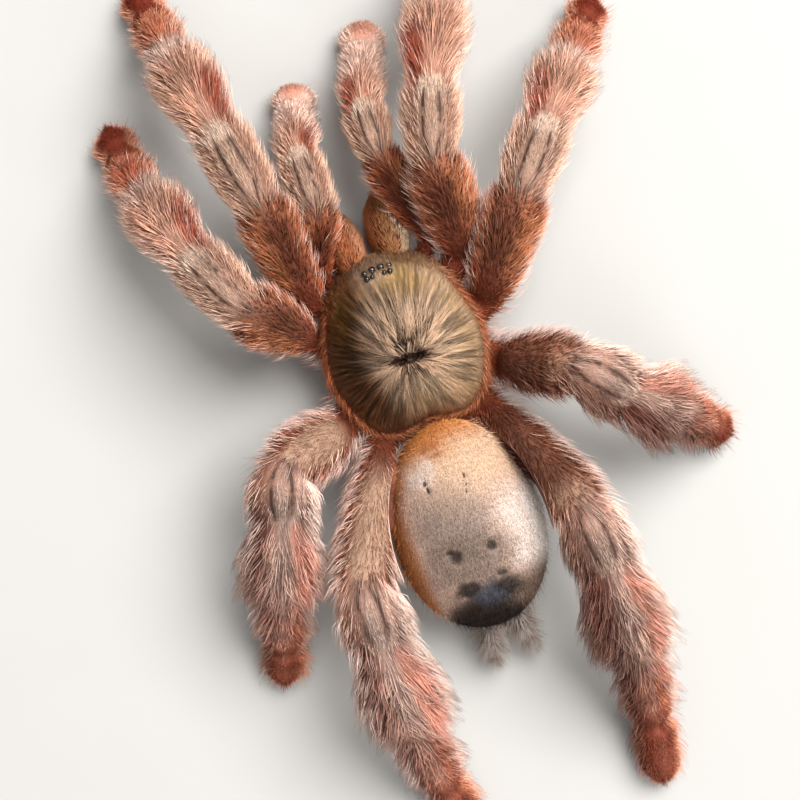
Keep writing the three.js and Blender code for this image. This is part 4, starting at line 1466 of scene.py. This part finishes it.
SHIELD_CROWDING = 0.85  # below 1 the rings stand closer together towards the rim
SHIELD_MIDDLE = 0.002  # where the first ring lies, as a share of the way to the rim
RIM_TILTS = np.radians(np.linspace(30, 180, 6))
RIM_OUT = 0.6
UNDER_RINGS = (0.9, 0.6, 0.3, 0.01)
UNDER_RISE = 0.4


def shield_place(share, angle):
    """Across, along and the way to the rim, as shares."""
    return np.stack([np.sin(angle) * share, -np.cos(angle) * share, share], axis=1)


class TARANTULA_OT_shield(bpy.types.Operator):
    """Add the shield over the head and the breast"""

    bl_idname = "tarantula.shield"
    bl_label = "Shield"

    def execute(self, context):
        sides, rings = SHIELD_GRID
        angle = circle(sides)
        share, turn = crossed(np.linspace(SHIELD_MIDDLE, 1, rings) ** SHIELD_CROWDING, angle)
        corners, shares = [SHIELD.plate(share, turn)], [share]
        rim = corners[0][-sides:]
        outward = np.pad(level_way(angle), ((0, 0), (0, 1)))
        for tilt in RIM_TILTS:
            out, down = math.sin(tilt), 1 - math.cos(tilt)
            corners.append(rim + outward * RIM_ROUND * out * RIM_OUT - UP * RIM_ROUND * down)
            shares.append(np.ones(sides))
        for inset in UNDER_RINGS:
            under = rim.copy()
            under[:, :2] = SHIELD.pit + (rim[:, :2] - SHIELD.pit) * inset
            under[:, 2] -= RIM_ROUND * 2 - (1 - inset) * UNDER_RISE
            corners.append(under)
            shares.append(np.full(sides, inset))
        fields = {"place": shield_place(np.concatenate(shares), np.tile(angle, len(shares) + rings - 1))}
        corners, faces = np.concatenate(corners), tube_faces(len(shares) + rings - 1, sides)
        material = shield_material(context.scene.tarantula_colours)
        add_piece("shield", corners, faces, material, ["carapace"], fields)
        return {"FINISHED"}


BREASTPLATE_GRID = (64, 48)
DENTS = [(side * 0.72, along) for along in (-0.5, 0.0, 0.5) for side in (-1, 1)]  # three to each side
DENT_SIZE = (0.12, 0.08)
DENT_DEPTH = 0.12


class TARANTULA_OT_breastplate(bpy.types.Operator):
    """Add the plate between the roots of the legs, on her underside"""

    bl_idname = "tarantula.breastplate"
    bl_label = "Breastplate"

    def execute(self, context):
        plate = Oval("sternum")
        corners, faces = plate.shell(0.0, *BREASTPLATE_GRID)
        local = plate.local(corners)
        for dent in DENTS:
            far = (((local[:, :2] - dent) / DENT_SIZE) ** 2).sum(1)
            corners[:, 2] += DENT_DEPTH * np.exp(-far) * (local[:, 2] < 0)
        material = breastplate_material(context.scene.tarantula_colours)
        add_piece("breastplate", corners, faces, material, ["sternum"])
        return {"FINISHED"}


# Eyes of one side as shares of the width and length of the eye group, and their radius.
EYES = (((0.38, 0.1), 0.39), ((1.02, 0.3), 0.32), ((0.96, 1.3), 0.29), ((0.5, 1.22), 0.24))
EYE_GRID = (24, 16)
EYE_CLOSED = 0.99
EYE_STANDS = 0.25  # how far an eye's middle stands over the plate, as a share of its radius


class TARANTULA_OT_eyes(bpy.types.Operator):
    """Add the eight eyes on their mound"""

    bl_idname = "tarantula.eyes"
    bl_label = "Eyes"

    def execute(self, context):
        sides, rings = EYE_GRID
        half = (EYE_HIGH - EYE_LOW) / 2
        shape, faces = ball(sides, rings, EYE_CLOSED), tube_faces(rings, sides)
        shells = []
        for (across, along), radius in EYES:
            for sign in (-1, 1):
                x = EYE_MIDDLE[0] + sign * half[0] * across
                y = EYE_LOW[1] + (EYE_HIGH[1] - EYE_LOW[1]) * along
                offset = np.array([x, y]) - SHIELD.pit
                angle = np.array([math.atan2(offset[0], -offset[1])])
                share = np.hypot(*offset) / SHIELD.rim(angle)
                level = SHIELD.plate(share, angle)[0, 2]
                shells.append((shape * radius + (x, y, level + radius * EYE_STANDS), faces))
        corners, faces = joined(shells)
        material = eye_material(context.scene.tarantula_colours)
        add_piece("eyes", corners, faces, material, ["eyes_left", "eyes_right"])
        return {"FINISHED"}


FANG_GIRTH = 0.5
FANG_CUTS = 26
FANG_SIDES = 20
FANG_ENDS = 0.1  # how far inside its solid a fang's middle line ends
FANG_EASE = 1.5
FANG_CLEAR = 0.9  # how high its middle line stays, as a share of its girth
FANG_TAPER = (1.6, 0.97)  # how late it thins, and by what share in all


class TARANTULA_OT_fangs(bpy.types.Operator):
    """Add the two curved fangs under the jaws"""

    bl_idname = "tarantula.fangs"
    bl_label = "Fangs"

    def execute(self, context):
        shells = []
        for side in SIDES:
            corners, triangles = node_mesh(f"fang_{side}")
            low, high = corners.min(0), corners.max(0)
            line = []
            for y in np.linspace(low[1] + FANG_ENDS, high[1] - FANG_ENDS, FANG_CUTS):
                cut = cut_points(corners, triangles, np.array([0, y, 0]), BACK)
                line.append((cut.min(0) + cut.max(0)) / 2)
            line = eased(np.array(line), FANG_EASE)
            line[:, 2] = np.maximum(line[:, 2], FANG_GIRTH * FANG_CLEAR)
            sideways, upward = (way[:, None] for way in frame_along(unit(np.gradient(line, axis=0))))
            late, thinned = FANG_TAPER
            taper = FANG_GIRTH * (1 - np.linspace(0, 1, FANG_CUTS) ** late * thinned)
            turn = circle(FANG_SIDES)[:, None]
            rings = line[:, None] + taper[:, None, None] * (sideways * np.sin(turn) + upward * np.cos(turn))
            shells.append((rings.reshape(-1, 3), tube_faces(FANG_CUTS, FANG_SIDES)))
        corners, faces = joined(shells)
        material = fang_material(context.scene.tarantula_colours)
        add_piece("fangs", corners, faces, material, ["fang_left", "fang_right"])
        return {"FINISHED"}


# ---- coats ----

SPLAY = 0.3
WANDER = 0.16
BOW = 0.28
FREE_REACH = 0.3
COAT_START = 0.1
STRAY_BASE = 0.8
STRAY_FAN = 0.42
SHOWN_SHARE = 0.6  # how far along itself a hair takes its colour from the limb
UNDERSIDE = 2.2  # what lies further round than this faces the floor, in radians
UNDERSIDE_SHARE = 0.7
THIGH_VELVET = 0.66  # how much shorter the hair is on the backs of the rear thighs, the feet and the knees
FOOT_VELVET = 0.5
PALP_VELVET = 0.25
PLATE_VELVET = 0.52
PLATE_RAGGED = 0.35
PLATE_START = (2.0, 2.1)
PLATE_END = (2.9, 3.0)
PLATE_WIDE = 0.2
PLATE_FADE = 0.12
PLATE_SPREAD = 0.2
SHARE_OF_LOCKS = 0.4
RAGGED_LOCKS = 0.7
STRAY_THIN = 0.8
TIP_LIFT = 0.6  # how much steeper hair stands at the very tip of a foot, in radians
TIP_COAT = 0.75
FLOOR_CLEAR = 0.05
FLAT_FLOW = 0.9  # how much of its steepness a hair's flow loses before it is lifted
PLATE_FAN = 1.3  # the plate's hair turns no further aside than at this many times the lines' place
FAN_ENDS = (2.35, 2.5)  # the stations between which it stops turning aside
FAN_TURNS = (2.7, 3.0)  # and those between which it draws together again, by FAN_BACK
FAN_BACK = 0.5
PLATE_CALM = 0.6  # how much less its hair wanders
BEND_SHARE = 0.45  # where along itself a hair bends
RAGGED_LONGER = 0.3  # how much longer the most ragged limb's hair is
FREE_BASE = 0.4  # how uneven a neat limb's hair is, against the most ragged one's
FREE_LIMITS = (-1.4, 2.2)
STRAY_LENGTHS = (0.6, 1.15)
LOCK_PULL = 0.35  # how much a neat limb's locks draw together, against the most ragged one's
MOST_PULL = 0.9
THIN_HAIR, MORE_WIDTH = 0.75, 0.5  # a hair's width is its station's, times 0.75 to 1.25


def scattered(limb, density, full, rng):
    """Distances along a limb and angles about it, spread by a density for each station."""
    girth = limb.flesh.mean(1) * 2 * math.pi
    weight = girth * by_station(density, limb.station) * (limb.station > COAT_START)
    weight *= limb.length < limb.end
    total = np.concatenate([[0], np.cumsum((weight[1:] + weight[:-1]) / 2 * np.diff(limb.length))])
    count = int(total[-1] * full)
    level = (np.arange(count) + rng.random(count)) / count * total[-1]
    where = np.interp(level, total, limb.length)
    return where, rng.uniform(-math.pi, math.pi, count)


def hair_directions(limb, where, angle, outward, lift, rng):
    """The first and the last direction of each hair, bowed along the limb."""
    tangent = limb.at(where, limb.tangent)
    side, upward = limb.at(where, limb.side), limb.at(where, limb.upward)
    about = side * np.cos(angle)[:, None] - upward * np.sin(angle)[:, None]
    station = limb.at(where, limb.station)
    plate = on_plate(station, angle)
    spread = smoothstep(station, *PLATE_START) - smoothstep(station, *FAN_ENDS)
    spread = spread - smoothstep(station, *FAN_TURNS) * FAN_BACK
    beside_lines = PLATE_SPREAD * spread * np.clip(angle / math.pi / STRIPE_AT, -PLATE_FAN, PLATE_FAN)
    drift = SPLAY * np.sin(2 * angle) * (1 - plate) + beside_lines * plate
    drift += WANDER * (1 - PLATE_CALM * plate) * rng.normal(size=len(where))
    flow = tangent + about * drift[:, None]
    flow = unit(flow - outward * (flow * outward).sum(1)[:, None] * FLAT_FLOW)
    bows = [lift * (1 + BOW), lift * (1 - BOW)]
    return [unit(flow * np.cos(bow)[:, None] + outward * np.sin(bow)[:, None]) for bow in bows]


def hair_lift(station, angle, share, rng):
    """How steeply hairs stand, in radians: flat on the limb's back and steeper on its sides."""
    top, beside = by_station(TOP_LIFT, station), by_station(SIDE_LIFT, station)
    lift = np.radians(top + (beside - top) * np.sin(angle) ** 2)
    return lift * share * (1 + WANDER * rng.normal(size=len(station)))


def on_plate(station, angle):
    """How far a place lies on the smooth back of the knee plate, from 0 to 1."""
    beside = smoothstep(abs(angle) / math.pi, PLATE_WIDE, PLATE_WIDE + PLATE_FADE)
    return swell(station, *PLATE_START, *PLATE_END) * (1 - beside)


def bare_lines(station, angle):
    """How bare the two lines on the knee plate are at a place, from 0 to 1."""
    parted = smoothstep(station, *LINES_PART) * (1 - smoothstep(station, *LINES_MEET) * STRIPE_CLOSE)
    line = 1 - smoothstep(abs(abs(angle) / math.pi - parted * STRIPE_AT) / STRIPE_WIDE, *LINE_EDGE)
    return swell(station, *LINES) * line


def clear_of_body(*stops):
    """Hairs that don't grow into the shield, the abdomen or the floor."""
    clear = np.ones(len(stops[0]), bool)
    for stop in stops:
        clear &= ~SHIELD.covers(stop) & ~BELLY.holds(stop, BELLY_DEPTH) & (stop[:, 2] > FLOOR_CLEAR)
    return clear


class HairKind:
    """One kind of hair in a limb's coat: how dense, long, steep, drawn together and dark it is."""

    def __init__(self, density, length, lift, locks, tone, bent=True, flanks=False):
        self.density, self.length, self.lift = density, length, lift
        self.locks, self.tone, self.bent, self.flanks = locks, tone, bent, flanks

    def scatter(self, limb, settings, rng):
        """Where along the limb and at what angle about it the hairs grow."""
        full = fullness(settings)
        if not self.flanks:
            where, angle = scattered(limb, self.density, full, rng)
            kept = rng.random(len(where)) < np.where(abs(angle) > UNDERSIDE, UNDERSIDE_SHARE, 1.0)
            return where[kept], angle[kept]
        where, angle = scattered(limb, self.density, full * (STRAY_BASE + limb.ragged), rng)
        return where, np.sign(angle) * (math.pi / 2 + rng.normal(size=len(angle)) * STRAY_FAN)

    def lengths(self, limb, where, angle, station, room, lift, rng):
        """How long the hairs are: the coat's depth at their lift, within the longest hair there."""
        if self.flanks:
            size = by_station(STRAY_LENGTH, station) * (1 - RAGGED_LONGER + RAGGED_LONGER * limb.ragged)
            return size * rng.uniform(*STRAY_LENGTHS, len(where))
        longest = by_station(LONGEST, station) * (1 + RAGGED_LONGER * limb.ragged)
        thigh = swell(station, 1.1, 1.4, 1.9, 2.0)
        foot = smoothstep(station, 4.0, 4.4) * (1 - limb.dome(where)[1])
        velvet = THIGH_VELVET * thigh * limb.ragged + (FOOT_VELVET if limb.shag > 0 else PALP_VELVET) * foot
        smooth = 1 - velvet * np.cos(angle / 2) ** 4
        smooth *= 1 - PLATE_VELVET * (1 + PLATE_RAGGED * limb.ragged) * on_plate(station, angle)
        free = 1 + FREE_REACH * (FREE_BASE + limb.ragged) * rng.normal(size=len(where)).clip(*FREE_LIMITS)
        return np.minimum(room / np.sin(lift), longest) * free * self.length * smooth

    def grow(self, coat, limb, settings, rng):
        """Adds this kind of hair to the coat of a limb."""
        where, angle = self.scatter(limb, settings, rng)
        station = limb.at(where, limb.station)
        roots, outward = limb.ring(where, angle, limb.flesh)
        lift = hair_lift(station, angle, self.lift, rng) + limb.dome(where)[1] * TIP_LIFT
        first, last = hair_directions(limb, where, angle, outward, lift, rng)
        room = np.linalg.norm(limb.ring(where, angle, limb.coat)[0] - roots, axis=1)
        room = np.maximum(room, limb.dome(where)[1] * TIP_COAT)
        length = self.lengths(limb, where, angle, station, room, lift, rng)
        shown = np.minimum(where + length * np.cos(lift) * SHOWN_SHARE, limb.length[-1])
        length = length * limb.notch(shown)
        bend = roots + first * (length * BEND_SHARE)[:, None]
        tip = bend + last * (length * (1 - BEND_SHARE))[:, None]
        chance = rng.random(len(where))
        if self.locks:
            pull = by_station(CLUMPING, station) * (LOCK_PULL + (1 - LOCK_PULL) * limb.ragged) * self.locks
            pull = np.minimum(pull, MOST_PULL) * (1 - on_plate(station, angle))
            leaders = round(settings.lock_size * (1 + RAGGED_LOCKS * limb.ragged))
            tip, leader = drawn_together(roots, tip, pull, leaders, rng)
            chance += (chance[leader] - chance) * SHARE_OF_LOCKS
        bend, tip = beside_belly(bend), beside_belly(tip)
        bare = bare_lines(station, angle) * (LINE_BARE - LINE_FADE * limb.ragged)
        keep = clear_of_body(bend, tip) & (rng.random(len(where)) > bare)
        width = by_station(HAIR_WIDTH, station) * settings.thickness
        width *= THIN_HAIR + MORE_WIDTH * rng.random(len(where))
        width *= STRAY_THIN if self.flanks else 1.0
        station = limb.at(shown, limb.station)
        place = np.stack([station, angle / math.pi * limb.hand, np.full(len(where), limb.shag)], axis=1)
        spot = np.stack([station / STATIONS, (angle / math.pi + 1) / 2], axis=1)
        stops = [bend, tip] if self.bent else [tip]
        coat.add(keep, roots, outward, stops, width, place, chance, spot % 1, self.tone)


HAIR_KINDS = (
    HairKind(GUARD_DENSITY, length=1.0, lift=1.0, locks=1.0, tone=1.0),
    HairKind(UNDER_DENSITY, length=0.55, lift=0.85, locks=0.0, tone=0.0, bent=False),
    HairKind(STRAY_DENSITY, length=1.0, lift=0.95, locks=1.1, tone=2.0, flanks=True),
)


class TARANTULA_OT_limb_coats(bpy.types.Operator):
    """Add the coats of the eight legs and the two palps"""

    bl_idname = "tarantula.limb_coats"
    bl_label = "Leg and palp coats"

    def execute(self, context):
        material = limb_coat_material(context.scene.tarantula_colours)
        for i, limb in enumerate(LIMBS):
            rng = np.random.default_rng(SEED + i)
            coat = Coat()
            for kind in HAIR_KINDS:
                kind.grow(coat, limb, context.scene.tarantula_coat, rng)
            coat.piece(f"coat_{limb.name}", material, "tibia_hair")
        return {"FINISHED"}


# The abdomen's velvet, and the longer hair low down and at its ends: number, length against the
# velvet's, lift in degrees, and whether it is left out on the back.
BELLY_HAIRS = ((33000, 1.0, 14, False), (1800, 2.6, 30, True))
BELLY_WANDER = 0.16
BELLY_LOW = 0.35  # shares of the half height and the half length, where the longer hair begins
BELLY_REAR = 0.75
BELLY_FRONT = -0.8
LIFT_SPREAD = 0.3
PIT_BARE = 0.8
SHORT_WIDTH = 0.03
THIN_SHORT, MORE_SHORT = 0.7, 0.6  # a hair's width is its kind's, times 0.7 to 1.3
SHORT_LENGTHS = (0.7, 1.2)


def oval_hairs(oval, depth, count, rng, top_share=0.6):
    """Even places on an oval, more of them on its upper half."""
    direction = unit(rng.normal(size=(count, 3)) * oval.half)
    direction[:, 2] = np.where(rng.random(count) < top_share, abs(direction[:, 2]), -abs(direction[:, 2]))
    return oval.surface(unit(direction / oval.half * oval.half.mean()), depth)


def laid(outward, flow, lift):
    """Hair directions that follow a flow over a surface at a lift in radians."""
    flat = unit(flow - outward * (flow * outward).sum(1)[:, None])
    return unit(flat * np.cos(lift)[:, None] + outward * np.sin(lift)[:, None])


def add_short_hairs(coat, roots, outward, tips, local, keep, chance, width, tone=1.0):
    """Adds straight hairs of an oval; on its unwrap they lie round it and from front to rear."""
    round_it = np.arctan2(local[:, 0], local[:, 2]) / (2 * math.pi) + 0.5
    spot = np.stack([round_it, np.clip(local[:, 1] / 2 + 0.5, 0, 1)], axis=1)
    coat.add(keep, roots, outward, [tips], width, local, chance, spot, tone)


class TARANTULA_OT_belly_coat(bpy.types.Operator):
    """Add the velvet of the abdomen and the longer hair along its flanks and rear"""

    bl_idname = "tarantula.belly_coat"
    bl_label = "Abdomen coat"

    def execute(self, context):
        settings = context.scene.tarantula_coat
        rng = np.random.default_rng(SEED * 3)
        full = fullness(settings)
        coat = Coat()
        for count, length, lift, long_hair in BELLY_HAIRS:
            count = int(count * full)
            roots, outward = oval_hairs(BELLY, BELLY_DEPTH, count, rng)
            local = BELLY.local(roots)
            roots -= outward * (PIT_DEPTH * sigil_depth(local))[:, None]
            flow = BACK + rng.normal(size=(count, 3)) * BELLY_WANDER
            lifts = np.radians(lift) * (1 + LIFT_SPREAD * rng.normal(size=count))
            size = settings.belly_length / MM * length * rng.uniform(*SHORT_LENGTHS, count)
            tips = roots + laid(outward, flow, lifts) * size[:, None]
            keep = np.ones(count, bool)
            if long_hair:
                keep = (local[:, 2] < BELLY_LOW) | (local[:, 1] > BELLY_REAR) | (local[:, 1] < BELLY_FRONT)
            keep &= rng.random(count) > sigil_depth(local) * PIT_BARE
            keep &= tips[:, 2] > FLOOR_CLEAR
            chance = rng.random(count)
            width = SHORT_WIDTH * settings.thickness * (THIN_SHORT + MORE_SHORT * chance)
            add_short_hairs(coat, roots, outward, tips, local, keep, chance, width)
        coat.piece("coat_abdomen", belly_coat_material(context.scene.tarantula_colours), "abdomen")
        return {"FINISHED"}


TAIL_HAIRS = 2600
TAIL_WANDER = 0.25
TAIL_LIFTS = (16, 58)
TAIL_LENGTHS = (1.0, 3.0)
TAIL_WIDTHS = (0.8, 0.5)


class TARANTULA_OT_tail_coat(bpy.types.Operator):
    """Add the hair of the spinnerets"""

    bl_idname = "tarantula.tail_coat"
    bl_label = "Spinneret coat"

    def execute(self, context):
        settings = context.scene.tarantula_coat
        rng = np.random.default_rng(SEED * 5)
        coat = Coat()
        count = int(TAIL_HAIRS * fullness(settings))
        for tail in SPINNERETS:
            roots, outward = oval_hairs(tail, SPINNERET_DEPTH, count, rng, 0.5)
            local = tail.local(roots)
            flow = BACK + rng.normal(size=(count, 3)) * TAIL_WANDER
            along = laid(outward, flow, np.radians(rng.uniform(*TAIL_LIFTS, count)))
            tips = roots + along * rng.uniform(*TAIL_LENGTHS, count)[:, None]
            chance = rng.random(count)
            width = SHORT_WIDTH * settings.thickness * (TAIL_WIDTHS[0] + TAIL_WIDTHS[1] * chance)
            keep = ~BELLY.holds(tips, BELLY_DEPTH) & (tips[:, 2] > FLOOR_CLEAR)
            add_short_hairs(coat, roots, outward, tips, local, keep, chance, width)
        coat.piece("coat_spinnerets", tail_coat_material(context.scene.tarantula_colours), "abdomen")
        return {"FINISHED"}


JAW_HAIRS = 5200
JAW_FLOW = -BACK - UP * 0.35
JAW_WANDER = 0.07
JAW_LIFT = (8, 20)  # in degrees, on a jaw's back and how much more on its sides
JAW_LENGTH = (0.75, 0.4, 0.5)  # on its back, and how much more on its sides and at its front


class TARANTULA_OT_jaw_coat(bpy.types.Operator):
    """Add the short hair of the two jaws"""

    bl_idname = "tarantula.jaw_coat"
    bl_label = "Jaw coat"

    def execute(self, context):
        settings = context.scene.tarantula_coat
        rng = np.random.default_rng(SEED * 7)
        coat = Coat()
        count = int(JAW_HAIRS * fullness(settings))
        for jaw, tan in zip(JAWS, (1.0, 0.0)):
            roots, outward = oval_hairs(jaw, JAW_DEPTH, count, rng, 0.65)
            local = jaw.local(roots)
            flow = JAW_FLOW + rng.normal(size=(count, 3)) * JAW_WANDER
            flank, front = smoothstep(abs(local[:, 0]), 0.5, 0.95), smoothstep(-local[:, 1], 0.6, 0.95)
            along = laid(outward, flow, np.radians(JAW_LIFT[0] + JAW_LIFT[1] * flank))
            size = JAW_LENGTH[0] + JAW_LENGTH[1] * flank + JAW_LENGTH[2] * front
            size = size * rng.uniform(*SHORT_LENGTHS, count)
            chance = rng.random(count)
            width = SHORT_WIDTH * settings.thickness * (THIN_SHORT + MORE_SHORT * chance)
            tips = roots + along * size[:, None]
            keep = ~SHIELD.covers(tips)
            add_short_hairs(coat, roots, outward, tips, local, keep, chance, width, tan)
        coat.piece("coat_jaws", jaw_coat_material(context.scene.tarantula_colours), "chelicera")
        return {"FINISHED"}


# The rows that ray out, the free hair outside them, the rim's fringe, and the brow, where the fringe
# is missing: number, how far out they grow, crowding (2 is even, less crowds them round the slit),
# lengths, lifts in degrees, wandering and tone.
SHIELD_HAIRS = {
    "rows": (13500, (0.02, 0.72), 1.3, (1.5, 3.5), (2, 8), 0.04, 1.0),
    "free": (12000, (0.5, 0.99), 2.0, (0.5, 1.2), (3, 12), 0.14, 0.55),
    "fringe": (3000, (0.93, 0.995), 2.0, (0.45, 1.1), (5, 30), None, 1.0),
    "brow": (1500, (0.86, 0.995), 2.0, (0.4, 1.0), (10, 50), 0.5, 1.0),
}
SHIELD_HAIR_WIDTH = 0.026
ROW_JITTER = 0.07
FORK_SPREAD = 0.07  # how unevenly the rows fork
ROWS_LOOSEN = (0.4, 0.7)  # where the rows get looser, to three times their jitter
ROW_SHORTER = 0.4  # how much shorter the rows' hair is towards the rim
ROW_TONES = (0.2, 0.7)
LEAN = 0.65  # how alike the tones of one row's hairs are
FRINGE_SWEEP = (0.5, 3.4)
SLIT_BARE = 0.22
HEAD_ANGLE = 0.62  # half the width of the head's front edge, which has no fringe, in radians


def row_angle(share, angle, forks):
    """Moves angles onto the crests between the shield's furrows, and says which crest it is."""
    turns = ray_phase(share, angle) * forks / (2 * math.pi)
    crest = np.round(turns - 0.5)
    return angle + (crest + 0.5 - turns) * 2 * math.pi / (forks * SHIELD_ROWS), crest.astype(int)


class TARANTULA_OT_shield_coat(bpy.types.Operator):
    """Add the rows of hair that ray out from the shield's pit, and the fringe of its rim"""

    bl_idname = "tarantula.shield_coat"
    bl_label = "Shield coat"

    def in_rows(self, share, angle, rng):
        """Angles drawn onto the rows, and how dark each hair's row is."""
        count = len(share)
        forks = np.where(share + rng.uniform(-FORK_SPREAD, FORK_SPREAD, count) > sum(FORKS) / 2, 2, 1)
        loose = rng.normal(size=count) * ROW_JITTER * 2 * math.pi / (forks * SHIELD_ROWS)
        angle, crest = row_angle(share, angle, forks)
        angle += loose * (1 + 2 * smoothstep(share, *ROWS_LOOSEN))
        tones = smoothstep(rng.random(4 * SHIELD_ROWS), *ROW_TONES)
        return angle, tones[crest % len(tones)]

    def add_hairs(self, coat, share, angle, length, lift, sweep, width, rng, tone, lean):
        """Adds hairs that point away from the slit, turned aside by their sweep."""
        roots = SHIELD.plate(share, angle)
        outward = SHIELD.outward(share, angle)
        offset = roots[:, :2] - SHIELD.pit
        radial = np.pad(SHIELD.away_from_slit(offset), ((0, 0), (0, 1)))
        about = np.stack([-radial[:, 1], radial[:, 0], np.zeros(len(angle))], axis=1)
        tips = roots + laid(outward, radial + about * sweep[:, None], lift) * length[:, None]
        chance = rng.random(len(share))
        chance = chance if lean is None else (1 - LEAN) * chance + LEAN * lean
        local = shield_place(share, angle)
        spot = local[:, :2] / 2 + 0.5
        width = width * (THIN_SHORT + MORE_SHORT * chance)
        keep = SHIELD.slit(offset) < SLIT_BARE
        coat.add(keep, roots, outward, [tips], width, local, chance, spot, tone)

    def execute(self, context):
        settings = context.scene.tarantula_coat
        rng = np.random.default_rng(SEED * 9)
        coat = Coat()
        width = SHIELD_HAIR_WIDTH * settings.thickness
        for kind, (count, (inner, outer), power, lengths, lifts, wander, tone) in SHIELD_HAIRS.items():
            count = int(count * fullness(settings))
            share = rng.uniform(inner**power, outer**power, count) ** (1 / power)
            angle = rng.uniform(-math.pi, math.pi, count)
            size, lean = 1.0, None
            if kind == "rows":
                angle, lean = self.in_rows(share, angle, rng)
                size = 1 - ROW_SHORTER * share
            elif kind == "fringe":
                angle = np.where(abs(angle) < HEAD_ANGLE, angle + math.pi, angle)
                size = settings.fringe_length / MM
            elif kind == "brow":
                angle *= HEAD_ANGLE / math.pi
            length = rng.uniform(*lengths, count) * size
            lift = np.radians(rng.uniform(*lifts, count))
            if kind == "fringe":
                sweep = np.sign(np.sin(angle)) * rng.uniform(*FRINGE_SWEEP, count)
            else:
                sweep = rng.normal(size=count) * wander
            self.add_hairs(coat, share, angle, length, lift, sweep, width, rng, tone, lean)
        coat.piece("coat_shield", shield_coat_material(context.scene.tarantula_colours), "carapace")
        return {"FINISHED"}


# ---- stage ----

FLOOR_HALF = 1.5
FLOOR_SINK = 0.00005
KEY_LAMP = ((0.21, 0.24, 0.5), 0.43)
FILL_LAMP = ((0.3, -0.4, 0.45), 0.5)
SENSOR = 36
NEAREST = 0.01  # what is nearer to the camera than this isn't seen


def add_lamp(name, place, size, power, aim, turn):
    """A square lamp at a place to the right, up the view and above, looking at the aim."""
    right = np.array([math.cos(turn), math.sin(turn), 0])
    ahead = np.array([-math.sin(turn), math.cos(turn), 0])
    data = bpy.data.lights.new(name, "AREA")
    data.shape = "SQUARE"
    data.size = size
    data.energy = power
    lamp = bpy.data.objects.new(name, data)
    offset = right * place[0] + ahead * place[1] + UP * place[2]
    lamp.location = aim + offset
    lamp.rotation_euler = Vector(-offset).to_track_quat("-Z", "Y").to_euler()
    bpy.context.scene.collection.objects.link(lamp)


class TARANTULA_OT_stage(bpy.types.Operator):
    """Add the floor, the lamps and the camera"""

    bl_idname = "tarantula.stage"
    bl_label = "Floor, lamps and camera"

    def execute(self, context):
        stage = context.scene.tarantula_stage
        mesh = bpy.data.meshes.new("floor")
        half = FLOOR_HALF
        corners = [(-half, -half, 0), (half, -half, 0), (half, half, 0), (-half, half, 0)]
        mesh.from_pydata(corners, [], [(0, 1, 2, 3)])
        mesh.materials.append(floor_material(stage.floor))
        floor = bpy.data.objects.new("floor", mesh)
        floor.location.z = -FLOOR_SINK
        context.scene.collection.objects.link(floor)
        floor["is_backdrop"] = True

        aim = np.array([*(SHIELD.pit * MM + np.array(stage.aside)), 0.0])
        add_lamp("main_lamp", *KEY_LAMP, stage.key_power, aim, stage.turn)
        add_lamp("fill_lamp", *FILL_LAMP, stage.fill_power, aim, stage.turn)
        world = bpy.data.worlds.new("studio")
        world.use_nodes = True
        sky = world.node_tree.nodes["Background"].inputs
        sky["Color"].default_value = WHOLE
        sky["Strength"].default_value = stage.sky
        context.scene.world = world
        context.scene.view_settings.view_transform = "Standard"

        camera = bpy.data.objects.new("camera", bpy.data.cameras.new("camera"))
        camera.data.lens = stage.lens
        camera.data.sensor_width = SENSOR
        camera.data.clip_start = NEAREST
        camera.location = aim + UP * stage.height
        camera.rotation_euler = (0, 0, stage.turn)
        context.scene.collection.objects.link(camera)
        context.scene.camera = camera
        return {"FINISHED"}


# ---- panel ----

OPERATORS = (
    TARANTULA_OT_skin,
    TARANTULA_OT_shield,
    TARANTULA_OT_breastplate,
    TARANTULA_OT_eyes,
    TARANTULA_OT_fangs,
    TARANTULA_OT_limb_coats,
    TARANTULA_OT_belly_coat,
    TARANTULA_OT_tail_coat,
    TARANTULA_OT_jaw_coat,
    TARANTULA_OT_shield_coat,
    TARANTULA_OT_stage,
)
SETTINGS = {
    "tarantula_colours": ColourSettings,
    "tarantula_coat": CoatSettings,
    "tarantula_stage": StageSettings,
}


class TARANTULA_PT_panel(bpy.types.Panel):
    """Lists the pieces of the tarantula and their settings"""

    bl_idname = "TARANTULA_PT_panel"
    bl_label = "Tarantula"
    bl_space_type = "VIEW_3D"
    bl_region_type = "UI"
    bl_category = "Tarantula"

    def draw(self, context):
        for operator in OPERATORS:
            self.layout.operator(operator.bl_idname)
        for name, group in SETTINGS.items():
            box = self.layout.box()
            for setting in group.__annotations__:
                box.prop(getattr(context.scene, name), setting)


def register():
    for group in SETTINGS.values():
        bpy.utils.register_class(group)
    for name, group in SETTINGS.items():
        setattr(bpy.types.Scene, name, PointerProperty(type=group))
    for operator in OPERATORS:
        bpy.utils.register_class(operator)
    bpy.utils.register_class(TARANTULA_PT_panel)


def unregister():
    bpy.utils.unregister_class(TARANTULA_PT_panel)
    for operator in reversed(OPERATORS):
        bpy.utils.unregister_class(operator)
    for name, group in SETTINGS.items():
        delattr(bpy.types.Scene, name)
        bpy.utils.unregister_class(group)


def main():
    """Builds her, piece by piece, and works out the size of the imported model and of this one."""
    register()
    for operator in OPERATORS:
        group, name = operator.bl_idname.split(".")
        getattr(getattr(bpy.ops, group), name)()
    sizes = {"cad": CAD_BOX, "visual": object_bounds()}
    sizes = {name: [[float(part) for part in corner] for corner in box] for name, box in sizes.items()}


if __name__ == "__main__":
    main()
